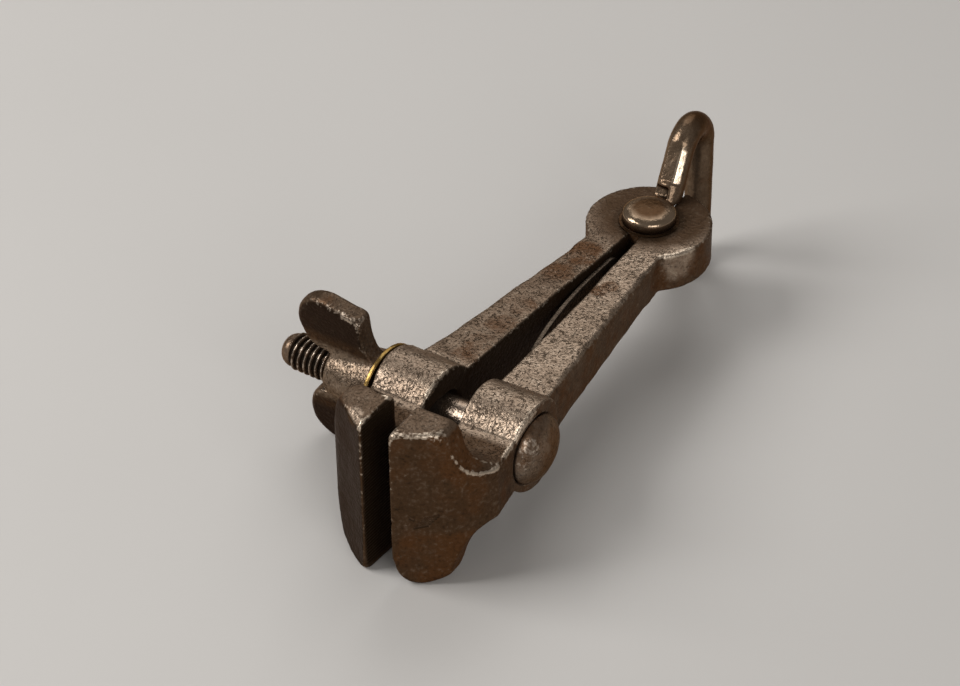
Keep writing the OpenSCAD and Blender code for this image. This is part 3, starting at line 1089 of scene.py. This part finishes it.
def right_leg() -> ForgedLeg:
    """The right leg with its own marks.

    Returns:
        The leg, ready to build.
    """
    return ForgedLeg(
        "forged_right_leg", ("right_leg",), "fixed_leg", "forged_steel", FORGED,
        low_r=0.8,
        dents=(
            Spot((1.6, -85.7, 15.3), 0.7, 0.10),
            Spot((1.7, -82.3, 15.2), 1.5, 0.10),
            Spot((4.4, -83.6, 15.2), 1.8, 0.12),
            Spot((8.0, -84.8, 5.6), 1.0, 0.10),
            Spot((0.7, -89.0, -0.4), 0.7, 0.15),
            Spot((0.9, -88.9, -10.6), 0.8, 0.15),
        ),
        nicks=(
            *row_of_nicks(Nick((5.0, -86.5, -2.1), (7.0, -85.3, -1.5)), (-0.4, -0.23, -0.5), 5),
            Nick((2.8, -87.8, -2.0), (3.4, -87.4, -2.4)),
        ),
        rubs=(
            Spot((0.5, -89.0, 15.3), 3.2, 0.6),
            Spot((3.0, -87.6, 15.3), 3.2, 0.55),
            Spot((6.0, -85.6, 15.3), 3.2, 0.6),
            Spot((9.8, -82.8, 10.0), 2.4, 0.7),
            Spot((10.9, -82.0, 8.0), 2.6),
            Spot((11.6, -80.6, 6.6), 3.0),
            Spot((12.8, -78.4, 5.6), 3.0),
            Spot((12.3, -65.4, 7.8), 3.0, 0.7),
            Spot((12.3, -68.0, 6.2), 3.4),
            Spot((12.3, -72.0, 4.5), 3.0),
            Spot((8.0, -7.5, 3.8), 3.0),
            Spot((10.2, -5.4, 3.8), 3.2),
        ),
        # Painted highlight on the heel's side, on partly worn bright metal.
        bare_and_painted_light=(Spot((9.6, -6.4, 1.6), 4.6, 0.95),),
        stains=(
            Spot((4.0, -21.8, 4.2), 2.6, 0.95),
            Spot((2.9, -24.1, 4.3), 2.4, 0.9),
            Spot((11.4, -2.0, 0.0), 5.0, 0.75),
            Spot((7.4, -10.6, 0.0), 4.0, 0.85),
            Spot((7.7, -19.0, -1.0), 5.0, 0.7),
            Spot((9.0, -34.0, -1.0), 6.5, 0.65),
            Spot((10.2, -49.0, 0.0), 6.0, 0.7),
            Spot((10.0, -79.5, 9.0), 4.5, 0.7),
        ),
    )


def left_leg() -> ForgedLeg:
    """The left leg with its own marks.

    Returns:
        The leg, ready to build.
    """
    return ForgedLeg(
        "forged_left_leg", ("left_leg",), "moving_leg", "forged_steel", FORGED,
        # The left jaw's outer bevel gets full painted shade.
        side=Side.LEFT, lean=0.3, seed=61.0, bar_clean=0.40, boss_clean=0.70, bevel_painted_shade=1.0,
        facets=(
            Facet((2.36, -87.4, 14.72), (0.30, -0.62, 0.72), 2.6),
            Facet((2.8, -85.8, 15.2), (0.04, -0.12, 0.99), 5.0),
        ),
        dents=(Spot((1.0, -86.0, 15.2), 1.3, 0.12), Spot((3.4, -84.2, 15.2), 1.7, 0.10)),
        nicks=(
            Nick((3.9, -79.9, 15.2), (2.3, -80.7, 15.3), 0.4, 0.3),
            Nick((2.3, -80.7, 15.3), (1.2, -80.0, 15.2), 0.4, 0.3),
        ),
        rubs=(
            Spot((0.3, -88.8, 15.0), 2.0, 0.8),
            Spot((1.0, -80.2, 15.2), 2.0),
            Spot((1.6, -71.0, 6.8), 3.0),
            Spot((1.6, -68.0, 8.0), 3.0),
            Spot((1.6, -64.0, 8.0), 3.0, 0.6),
        ),
        bare_and_painted_light=(Spot((2.6, -87.3, 14.7), 2.4, 0.8), Spot((0.4, -88.4, 15.0), 1.6, 0.6)),
        stains=(
            Spot((3.6, -53.0, 4.8), 4.5, 0.55),
            Spot((4.0, -48.5, 4.8), 4.5, 0.62),
            Spot((4.3, -42.5, 4.7), 4.5, 0.58),
            Spot((4.5, -35.5, 4.6), 4.0, 0.52),
            Spot((5.0, -23.0, 4.3), 5.0, 0.6),
            Spot((4.8, -15.5, 4.0), 6.0, 0.85),
        ),
    )


@dataclass
class WingNut(Fitting):
    """Wing nut with a tapered hub and two round ears."""

    voxel: float = 0.22
    shoulder_r: float = 0.55
    ear_r: float = 1.35
    hollow_r: float = 3.0
    turn: float = 6.5
    hub_r: float = 6.0
    hub_fade: float = 1.6
    wing_root: float = 1.4
    wing_reach: float = 16.3
    wing_half: float = 1.9
    rim_rubs: tuple[Pair, ...] = ((3.0, 1.8), (5.5, 1.2), (8.0, 0.6))
    rub_r: float = 2.6

    WEAR_ROUNDS = 260
    FORM_ROUNDS = 45

    def shape(self) -> bpy.types.Object:
        """Works the wing nut up from its CAD node.

        Returns:
            The marked object.
        """
        work = Workpiece(
            remeshed_copy(self.nodes[0], self.piece, self.voxel),
            turned_place(Joint.NUT, self.turn, Axis.X),
        )
        reach = np.linalg.norm(work.points[:, 1:], axis=1)
        uneven = work.noise(2.4, 41.0)
        ear = soft_step(-work.points[:, 0], 3.4, 8.0) * soft_step(reach, 5.5, 8.0)
        edge_r = self.shoulder_r + (self.ear_r - self.shoulder_r) * ear
        edge_r *= 1.0 + 0.3 * np.clip(uneven, -1, 1)
        work.round_off(edge_r, self.hollow_r, self.WEAR_ROUNDS)
        work.even_out(2)
        worn = 0.04 * work.noise(5.0, 17.0) + 0.012 * uneven
        work.press(worn * soft_step(reach, 3.7, 4.3))
        work.write()
        self.mark(work)
        return work.obj

    def mark(self, work: Workpiece) -> None:
        """Marks the pale pitted hub, the dark faces of the wings and their rubbed rims.

        Args:
            work: The finished nut.
        """
        relief, normals = work.relief(self.FORM_ROUNDS), work.normals()
        reach = np.linalg.norm(work.points[:, 1:], axis=1)
        hub = soft_step(reach, self.hub_r + self.hub_fade, self.hub_r)
        flat = soft_step(np.abs(normals[:, 1]), 0.7, 0.92) * (1.0 - hub)
        shoulder = soft_step(normals[:, 0], 0.3, 0.8) * (1.0 - hub)
        root = soft_step(np.abs(reach - self.hub_r - self.wing_root), 2.2, 0.6)
        rubs = [
            Spot((-along, -self.wing_half, way * (self.wing_reach - drop)), self.rub_r)
            for along, drop in self.rim_rubs for way in (1, -1)
        ]
        work.marks({
            Mark.WEAR: soft_step(relief, 0.06, 0.2) * (0.34 + 0.38 * near(work.points, rubs)),
            Mark.HOLLOW: 0.8 * flat * soft_step(reach, 8.0, 10.0),
            Mark.CLEAN: 0.5 * hub + (1.0 - hub) * (0.16 * (1.0 - flat) + 0.12 * shoulder),
            Mark.PITTED: 0.9 * hub + 0.5 * (1.0 - hub),
            Mark.RUSTY: 0.22 + 0.25 * root + 0.12 * (1.0 - flat) * (1.0 - hub),
        })


@dataclass
class HangingLoop(Fitting):
    """Bent rod loop, hammered flat in front, with flat eyes on the pivot rivet."""

    voxel: float = 0.2
    edge_r: float = 0.35
    hollow_r: float = 0.7
    turn: float = 6.0
    rod_r: float = 2.65
    reach: float = 22.0
    top: float = 14.2
    bend: float = 4.8
    slope: float = 57.0
    eye_low: float = 3.95
    eye_high: float = 4.65
    eye_rim: float = 0.12
    eye_r: float = 5.6
    flat: float = 0.80
    strip_turn: float = 36.0
    strip: float = 0.90
    highlight_half: float = 13.0
    highlight_taper: float = 9.0
    highlight_fade: float = 10.0
    hammered: float = 0.9

    WEAR_ROUNDS = 80
    FORM_ROUNDS = 45

    def shape(self) -> bpy.types.Object:
        """Works the loop up from its CAD node.

        Returns:
            The marked object.
        """
        work = Workpiece(
            remeshed_copy(self.nodes[0], self.piece, self.voxel),
            turned_place(Joint.LOOP, self.turn, Axis.Z),
        )
        work.round_off(self.edge_r, self.hollow_r, self.WEAR_ROUNDS)
        work.even_out(3)
        self.thin_eyes(work)
        rod = soft_step(work.points[:, 1], 6.0, 9.0)
        work.press(rod * 0.05 * work.noise(4.5, 8.0))
        strip = self.hammer(work)
        work.write()
        self.mark(work, strip)
        return work.obj

    def mark(self, work: Workpiece, strip: np.ndarray) -> None:
        """Marks the strip's wear and painted highlight, the cleaner front and the rusty back, with painted
        shade in the notch and under the rivet's head.

        Args:
            work: The finished loop.
            strip: Share by which each vertex lies on the strip with its painted highlight.
        """
        relief, normals = work.relief(self.FORM_ROUNDS), work.normals()
        back = work.points[:, 1]
        front = soft_step(-normals[:, 1], -0.1, 0.6) * soft_step(normals[:, 2], -0.3, 0.2)
        # Painted shade in the hammered notch and the other hollows, and round the eyes under the rivet's
        # head.
        sunk = 0.9 * soft_step(-relief, 0.06, 0.2)
        work.marks({
            # The strip is painted bright as wear and as a highlight.
            Mark.WEAR: np.maximum(strip, 0.35 * soft_step(relief, 0.08, 0.2)),
            Mark.HOLLOW: np.maximum(sunk, 0.45 * soft_step(back, 4.5, 3.5)),
            Mark.CLEAN: 0.04 + 0.34 * front * soft_step(back, 5.0, 6.0),
            Mark.PITTED: 0.15 + 0.35 * front,
            Mark.RUSTY: 0.12 + 0.55 * (1.0 - front),
        })

    def thin_eyes(self, work: Workpiece) -> None:
        """Draws the eyes out thin towards their rims.

        Args:
            work: The loop under work.
        """
        across, back, height = work.points.T
        level = np.abs(height)
        arm = np.hypot(across, back)
        foot = soft_step(arm, 5.08, 5.3) * soft_step(back, 2.0, 3.6)
        foot *= soft_step(np.abs(across), 3.4, 2.4)
        full = soft_step(arm, 4.9, 4.7)
        limit = self.eye_low + self.eye_rim + (self.eye_high - self.eye_low - self.eye_rim) * full
        limit += (self.eye_high - limit) * foot
        proud = (arm < self.eye_r + 0.4) & (level > limit) & (level < self.eye_high + 0.3)
        work.points[:, 2] = np.where(proud, np.sign(height) * limit, height)

    def hammer(self, work: Workpiece) -> np.ndarray:
        """Flattens the front of the upper rod and a second flat beside it, and finds the strip on that flat
        which is painted bright as wear and as a highlight.

        Args:
            work: The loop under work.

        Returns:
            Share by which each vertex lies on the strip with its painted highlight.
        """
        tilt, turn = math.radians(self.slope), math.radians(self.strip_turn)
        rise = np.array((0.0, math.cos(tilt), math.sin(tilt)))
        front = np.array((0.0, -math.sin(tilt), math.cos(tilt)))
        aside = math.cos(turn) * front + np.array((math.sin(turn), 0.0, 0.0))
        end = np.array((
            0.0,
            self.reach - self.bend - self.bend * math.sin(tilt),
            self.top - self.bend + self.bend * math.cos(tilt),
        ))
        off = work.points - end
        up_rod = off @ rise
        zone = soft_step(up_rod, -7.0, -6.2) * soft_step(up_rod, 1.8, -0.6)
        zone *= work.points[:, 2] > self.eye_high
        for way, share in ((front, self.flat), (aside, self.strip)):
            proud = np.maximum(off @ way - share * self.rod_r, 0.0)
            work.points -= (self.hammered * zone * proud)[:, None] * way
            off = work.points - end
        radial = off - np.outer(off @ rise, rise)
        lean = (radial @ aside) / np.maximum(np.linalg.norm(radial, axis=1), TINY)
        # Width of the strip's painted highlight round the rod, narrowing towards the bend.
        half = self.highlight_half - self.highlight_taper * soft_step(up_rod, -2.5, 1.5)
        faded, full = np.cos(np.radians(half + self.highlight_fade)), np.cos(np.radians(half))
        return zone * soft_step(lean, faded, full)


def round_over(profile: list[Pair], corner: Pair, end: Pair, steps: int) -> None:
    """Adds a quadratic curve to the end of a profile.

    Args:
        profile: The profile, whose last point the curve leaves.
        corner: Point towards which the curve leaves and from which it arrives.
        end: Last point of the curve.
        steps: Number of points that are added.
    """
    start = profile[-1]
    for i in range(1, steps + 1):
        t = i / steps
        shares = ((1 - t) ** 2, 2 * t * (1 - t), t * t)
        profile.append(tuple(sum(s * c for s, c in zip(shares, row)) for row in zip(start, corner, end)))


def spun(profile: Iterable[Pair], axis: Axis, centre: Vector, steps: int = 96) -> bmesh.types.BMesh:
    """Spins a profile once round an axis.

    Args:
        profile: Pairs of place along the axis and radius, in millimetres.
        axis: The axis.
        centre: Point on the axis from which the places are measured.
        steps: Number of steps round.

    Returns:
        A bmesh in millimetres with outward normals.
    """
    bm = bmesh.new()
    along = Vector((1, 0, 0)) if axis is Axis.X else Vector((0, 0, 1))
    across = Vector((0, 1, 0)) if axis is Axis.X else Vector((1, 0, 0))
    verts = [bm.verts.new(centre + along * a + across * r) for a, r in profile]
    for one, two in zip(verts, verts[1:]):
        bm.edges.new((one, two))
    bmesh.ops.spin(
        bm, geom=bm.verts[:] + bm.edges[:], cent=centre, axis=along,
        angle=math.tau, steps=steps, use_merge=True,
    )
    bmesh.ops.remove_doubles(bm, verts=bm.verts, dist=WELD_MM)
    bmesh.ops.recalc_face_normals(bm, faces=bm.faces)
    return bm


@dataclass
class ClampScrew(Fitting):
    """Clamp screw: domed head, plain shank, thread and rounded tip."""

    thread_r: float = 3.4
    pitch: float = 1.27
    depth: float = 0.75
    tip: float = -36.0
    tip_h: float = 2.6
    thread_from: float = -8.5
    head_seat: float = 15.53
    head_h: float = 3.6
    head_r: float = 6.4
    rim_share: float = 0.28
    end_share: float = 0.92
    dome_share: float = 0.85
    lip_in: float = 0.25
    lip_up: float = 0.3
    lip_out: float = 0.1
    # Painted highlight on the upper left of the head's dome.
    head_highlights: tuple[Spot, ...] = (
        Spot((17.6, -3.6, 3.2), 2.8, 0.62),
        Spot((17.0, -4.7, 0.4), 2.6, 0.5),
    )
    rows: int = 320
    shank_rows: int = 24

    def shape(self) -> bpy.types.Object:
        """Spins the screw and cuts its thread.

        Returns:
            The marked object.
        """
        axis = joint_place(Joint.NUT)
        axis.x = joint_place(Joint.LEG).x
        obj = from_bmesh(self.piece, spun(self.profile(), Axis.X, axis))
        work = Workpiece(obj, Matrix.Translation(axis))
        self.cut_thread(work)
        return obj

    def profile(self) -> list[Pair]:
        """Draws the screw's outline from its tip to the top of its head.

        Returns:
            Pairs of place along the axis and radius.
        """
        seat, top = self.head_seat, self.head_seat + self.head_h
        rim = self.head_seat + self.head_h * self.rim_share
        under = self.head_r * self.end_share
        blunt = self.tip + self.tip_h
        span, plain = self.thread_from - blunt, seat - self.thread_from
        corner_r, blunt_r = self.thread_r * self.dome_share, self.thread_r * self.end_share
        made = [(self.tip, 0.0)]
        round_over(made, (self.tip, corner_r), (blunt, blunt_r), 12)
        made += [(blunt + span * i / self.rows, self.thread_r) for i in range(1, self.rows)]
        made += [
            (self.thread_from + plain * i / self.shank_rows, self.thread_r)
            for i in range(self.shank_rows + 1)
        ]
        made += [(seat, under - self.lip_in)]
        round_over(made, (seat, under), (seat + self.lip_up, under + self.lip_out), 4)
        round_over(made, (rim - 0.1, self.head_r), (rim, self.head_r), 6)
        round_over(made, (top, self.head_r * self.dome_share), (top, 0.0), 24)
        return made

    def cut_thread(self, work: Workpiece) -> None:
        """Cuts the helical thread and marks its roots and crests, paints a highlight on the head, and
        lightens the shank as clean metal and as painted light.

        Args:
            work: The plain screw.
        """
        along = work.points[:, 0]
        around = np.arctan2(work.points[:, 2], work.points[:, 1]) / math.tau
        phase = along / self.pitch + around
        tooth = np.abs(2.0 * (phase - np.floor(phase)) - 1.0)
        ridge = soft_step(np.clip(1.9 * tooth - 0.65, 0.0, 1.0), -0.1, 1.1)
        blunt = self.tip + self.tip_h
        zone = soft_step(along, blunt - 0.9, blunt + 0.6)
        zone *= soft_step(along, self.thread_from, self.thread_from - 1.3)
        cut = zone * (1.0 - ridge)
        reach = np.linalg.norm(work.points[:, 1:], axis=1)
        scale = (reach - self.depth * cut) / np.maximum(reach, TINY)
        work.points[:, 1:] *= np.where(reach > 0.5, scale, 1.0)[:, None]
        head = soft_step(along, self.head_seat - 0.2, self.head_seat)
        work.points[:, 0] += head * 0.04 * work.noise(2.2, 5.0)
        work.write()
        shank = (1.0 - head) * soft_step(along, self.thread_from - 1.0, self.thread_from)
        end = soft_step(along, blunt + 0.6, blunt - 0.9)
        crest = 0.75 * zone * soft_step(ridge, 0.6, 0.95)
        # The shank is clean metal, made lighter also as painted light where it lies in shade between the
        # legs.
        work.marks({
            Mark.WEAR: np.maximum(crest, near(work.points, self.head_highlights)),
            Mark.HOLLOW: soft_step(cut, 0.25, 0.7),
            Mark.CLEAN: 0.72 * shank + 0.2 * zone + 0.32 * head + 0.22 * end + 0.04,
            Mark.PITTED: 0.3 + 0.3 * head,
            Mark.RUSTY: 0.08 + 0.62 * head + 0.2 * shank,
        })


@dataclass
class PivotRivet(Fitting):
    """Pivot rivet with a low domed head at each end."""

    shank_r: float = 3.0
    head_r: float = 5.0
    low: float = 4.75
    skirt: float = 4.2
    skirt_wall: float = 0.1
    head_h: float = 2.3
    side_h: float = 0.75
    squareness: float = 2.5
    rows: int = 40

    def shape(self) -> bpy.types.Object:
        """Spins the rivet and marks its heads: their worn rims, lightened also to carry a painted
        highlight, and painted shade at their base.

        Returns:
            The marked object.
        """
        centre = joint_place(Joint.LEG)
        upper = self.profile()
        lower = [(-a, r) for a, r in reversed(upper)]
        obj = from_bmesh(self.piece, spun(lower + upper, Axis.Z, centre))
        work = Workpiece(obj, Matrix.Translation(centre))
        rim, top = self.low + self.side_h, self.low + self.head_h
        way, height = np.sign(work.points[:, 2]), np.abs(work.points[:, 2])
        work.points[:, 2] += 0.04 * way * work.noise(2.5, 2.0) * soft_step(height, rim, top)
        work.write()
        reach = np.linalg.norm(work.points[:, :2], axis=1)
        # The worn rims are made lighter, partly to carry a painted highlight; painted shade lies at the
        # base of each head.
        edge = soft_step(reach, 2.4, 4.7) * soft_step(height, rim - 0.2, rim + 0.5)
        work.marks({
            Mark.WEAR: 0.0,
            Mark.HOLLOW: 0.85 * soft_step(height, self.low + 0.7, self.low + 0.1),
            Mark.CLEAN: 0.02 + 0.9 * edge,
            Mark.PITTED: 0.1,
            Mark.RUSTY: 0.3 - 0.2 * edge,
        })
        return obj

    def profile(self) -> list[Pair]:
        """Draws the outline of the upper head, from the shank to the top of its dome.

        Returns:
            Pairs of height and radius.
        """
        rim, top = self.low + self.side_h, self.low + self.head_h
        inner = self.head_r - self.skirt_wall
        made = [(self.low, self.shank_r), (self.low, inner), (self.skirt, inner), (self.skirt, self.head_r)]
        power = 2.0 / self.squareness
        for i in range(self.rows):
            turn = math.pi / 2 * i / self.rows
            height = rim + (top - rim) * math.sin(turn) ** power
            made.append((height, self.head_r * math.cos(turn) ** power))
        made.append((top, 0.0))
        return made


@dataclass
class BrassWasher(Fitting):
    """Thin brass washer between boss and nut."""

    radius: float = 8.2
    bore: float = 3.45
    thick: float = 0.8
    soft: float = 0.22
    shaded: Pair = (7.2, 6.5)

    def shape(self) -> bpy.types.Object:
        """Spins the washer with its soft rim.

        Returns:
            The marked object.
        """
        nut = joint_place(Joint.NUT)
        r, t, s = self.radius, self.thick, self.soft
        profile = [(0.0, self.bore), (0.0, r - s)]
        round_over(profile, (0.0, r), (s, r), 4)
        profile += [(t - s, r)]
        round_over(profile, (t, r), (t, r - s), 4)
        profile += [(t, self.bore), (0.0, self.bore)]
        obj = from_bmesh(self.piece, spun(profile, Axis.X, nut))
        work = Workpiece(obj, Matrix.Translation(nut))
        reach = np.linalg.norm(work.points[:, 1:], axis=1)
        work.marks({
            Mark.WEAR: 0.5 * soft_step(reach, r - 0.4, r),
            Mark.HOLLOW: 0.5 * soft_step(reach, *self.shaded),
            Mark.CLEAN: 0.7,
            Mark.PITTED: 0.15,
            Mark.RUSTY: 0.1,
        })
        return obj


@dataclass
class LeafSpring(Fitting):
    """Bowed strip between the legs, riveted to the left one."""

    thick: float = 0.9
    width: float = 5.0
    rivet_back: float = 12.5
    bow_from: float = 15.5
    tip_back: float = 43.0
    bow_r: float = 108.0
    seat: float = 1.0
    lean: float = 0.3
    end_width: float = 0.12
    soft: float = 0.14
    sharp: float = 1.0
    rows: int = 60
    columns: int = 6

    def shape(self) -> bpy.types.Object:
        """Makes the spring and marks its edges.

        Returns:
            The marked object.
        """
        obj = from_bmesh(self.piece, self.strip())
        work = Workpiece(obj, self.place())
        half = self.width / 2
        edge = soft_step(np.abs(work.points[:, 2]), half - 0.3, half - 0.05)
        work.marks({
            Mark.WEAR: 0.15 * edge,
            Mark.HOLLOW: 0.0,
            Mark.CLEAN: 0.1 + 0.2 * edge,
            Mark.PITTED: 0.2,
            Mark.RUSTY: 0.15,
        })
        return obj

    def carry(self, obj: bpy.types.Object) -> None:
        """Bakes the spring's transform into its mesh; it is bowed in strip and not attached to a body.

        Args:
            obj: The spring.
        """
        place = self.place()
        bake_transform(obj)

    def place(self) -> Matrix:
        """Turn and shift from the left leg's frame to the vise's."""
        return turned_place(Joint.LEG, -self.lean, Axis.Z)

    def strip(self) -> bmesh.types.BMesh:
        """Bows a flat strip with a round end and gives it its thickness.

        Returns:
            The strip in millimetres, in the vise's frame.
        """
        bm = bmesh.new()
        bmesh.ops.create_grid(bm, x_segments=self.rows, y_segments=self.columns, size=0.5)
        half = self.width / 2
        start = half - self.rivet_back
        length = self.tip_back + start
        for v in bm.verts:
            run = start - (v.co.x + 0.5) * length
            past = max(0.0, -self.bow_from - run)
            from_middle = max(0.0, half - (start - run)) / half
            narrow = max(self.end_width, math.sqrt(1.0 - from_middle ** 2))
            bow = self.bow_r - math.sqrt(self.bow_r ** 2 - past ** 2)
            v.co = Vector((-self.seat + bow, run, v.co.y * self.width * narrow))
        bmesh.ops.recalc_face_normals(bm, faces=bm.faces)
        if bm.faces[:][0].normal.x > 0:
            bmesh.ops.reverse_faces(bm, faces=bm.faces)
        bmesh.ops.solidify(bm, geom=bm.faces[:], thickness=self.thick)
        bmesh.ops.recalc_face_normals(bm, faces=bm.faces)
        rims = [e for e in bm.edges if e.is_manifold and e.calc_face_angle() > self.sharp]
        bmesh.ops.bevel(
            bm, geom=rims, offset=self.soft, offset_type="OFFSET", affect="EDGES",
            segments=2, profile=0.5, material=-1,
        )
        bmesh.ops.transform(bm, matrix=self.place(), verts=bm.verts)
        return bm


@dataclass(frozen=True)
class Softbox:
    """A square soft lamp: its direction as the camera's is counted, and its metres and watts."""

    name: str
    azimuth: float
    elevation: float
    distance: float
    size: float
    watts: float


@dataclass
class Studio:
    """Pale floor, soft lamps and the camera at the photograph's angle."""

    azimuth: float = 34.553
    elevation: float = 37.009
    roll: float = -0.711
    focal_px: float = 2995.98
    image_px: float = 960.0
    sensor: float = 36.0
    distance: float = 0.52759
    clip: Pair = (0.01, 20.0)
    aim_off_pivot: Place = (-7.938, -43.701, 0.0)
    floor_size: float = 6.0
    floor_tone: Colour = (0.60, 0.575, 0.545)
    floor_spread: Pair = (0.97, 1.03)
    floor_cloud: float = 60.0
    floor_rough: float = 0.62
    world_tone: Colour = (0.62, 0.60, 0.58)
    world_level: float = 0.32
    lamps: tuple[Softbox, ...] = (
        Softbox("key_softbox", azimuth=-55.0, elevation=42.0, distance=0.75, size=0.40, watts=3.8),
        Softbox("back_softbox", azimuth=-150.0, elevation=48.0, distance=0.85, size=0.55, watts=1.7),
        Softbox("fill_softbox", azimuth=54.0, elevation=28.0, distance=0.9, size=0.5, watts=2.3),
    )
    target: Vector = field(init=False)

    def __post_init__(self) -> None:
        """Works out the point that the camera and the lamps face."""
        self.target = (joint_place(Joint.LEG) + Vector(self.aim_off_pivot)) * MM

    def build(self) -> None:
        """Builds the stage, the lamps and the camera."""
        self.camera()
        self.floor()
        self.world()
        for softbox in self.lamps:
            self.lamp(softbox)

    def away(self, azimuth: float, elevation: float) -> Vector:
        """Direction from the object at an azimuth and elevation, as the camera's are counted."""
        a, e = math.radians(azimuth), math.radians(elevation)
        return Vector((math.sin(a) * math.cos(e), -math.cos(a) * math.cos(e), math.sin(e)))

    def camera(self) -> None:
        """Places the camera."""
        back = self.away(self.azimuth, self.elevation)
        level = Vector((0, 0, 1)).cross(back).normalized()
        upright = back.cross(level)
        roll = math.radians(self.roll)
        right = math.cos(roll) * level + math.sin(roll) * upright
        up = math.cos(roll) * upright - math.sin(roll) * level
        data = bpy.data.cameras.new("photo_camera")
        data.sensor_width = self.sensor
        data.lens = self.focal_px / self.image_px * self.sensor
        data.clip_start, data.clip_end = self.clip
        camera = new_object("photo_camera", data)
        place = Matrix((right, up, back)).transposed().to_4x4()
        place.translation = self.target + back * self.distance
        camera.matrix_world = place
        bpy.context.scene.camera = camera

    def floor(self) -> None:
        """Lays the pale floor."""
        bm = bmesh.new()
        bmesh.ops.create_grid(bm, x_segments=2, y_segments=2, size=self.floor_size / 2)
        mesh = bpy.data.meshes.new("pale_floor")
        bm.to_mesh(mesh)
        bm.free()
        graph = Graph("pale_floor")
        low, high = (tuple(c * share for c in self.floor_tone) for share in self.floor_spread)
        tone = graph.mix(graph.noise(self.floor_cloud, 3.0, 0.5), low, high)
        mesh.materials.append(graph.feed(Base_Color=tone, Roughness=self.floor_rough))
        new_object("pale_floor", mesh)

    def world(self) -> None:
        """Lights the room evenly."""
        world = bpy.data.worlds.new("soft_room")
        world.use_nodes = True
        background = next(n for n in world.node_tree.nodes if n.type == "BACKGROUND")
        background.inputs["Color"].default_value = (*self.world_tone, 1.0)
        background.inputs["Strength"].default_value = self.world_level
        bpy.context.scene.world = world

    def lamp(self, softbox: Softbox) -> None:
        """Hangs one soft lamp that faces the object.

        Args:
            softbox: The lamp's place, size and power.
        """
        data = bpy.data.lights.new(softbox.name, "AREA")
        data.shape = "SQUARE"
        data.size = softbox.size
        data.energy = softbox.watts
        lamp = new_object(softbox.name, data)
        back = self.away(softbox.azimuth, softbox.elevation)
        lamp.location = self.target + back * softbox.distance
        lamp.rotation_mode = "QUATERNION"
        lamp.rotation_quaternion = (-back).to_track_quat("-Z", "Y")


def dress_small_parts() -> None:
    """Gives the cross pin and the spring's rivet, which stay as they are, their finishes."""
    for node, finish in (("screw_pin", THREAD_STEEL), ("spring_rivet", SPRING_STEEL)):
        mesh = frame["nodes"][node].data
        mesh.materials.clear()
        mesh.materials.append(finish.material())
        LOG.info("%s: finish %s", node, finish.name)


def main() -> None:
    """Builds the vise and its stage in order."""
    logging.basicConfig(level=logging.INFO, format="%(name)s %(message)s")
    bpy.context.scene.view_settings.view_transform = "Standard"
    Studio().build()
    pieces: tuple[Fitting, ...] = (
        right_leg(),
        left_leg(),
        WingNut("worn_wing_nut", ("wing_nut",), "nut", "worn_steel", NUT_STEEL),
        HangingLoop("bent_loop", ("hanging_loop",), "loop", "worn_steel", BRONZED),
        ClampScrew("threaded_screw", ("clamp_screw",), "fixed_leg", "dark_steel", THREAD_STEEL),
        PivotRivet("domed_rivet", ("pivot_rivet",), "fixed_leg", "worn_steel", BRONZED),
        BrassWasher("turned_washer", ("brass_washer",), "washer", "brass", BRASS),
        LeafSpring("bowed_spring", ("leaf_spring",), "moving_leg", "spring_steel", SPRING_STEEL),
    )
    for piece in pieces:
        piece.build()
    dress_small_parts()


if __name__ == "__main__":
    main()
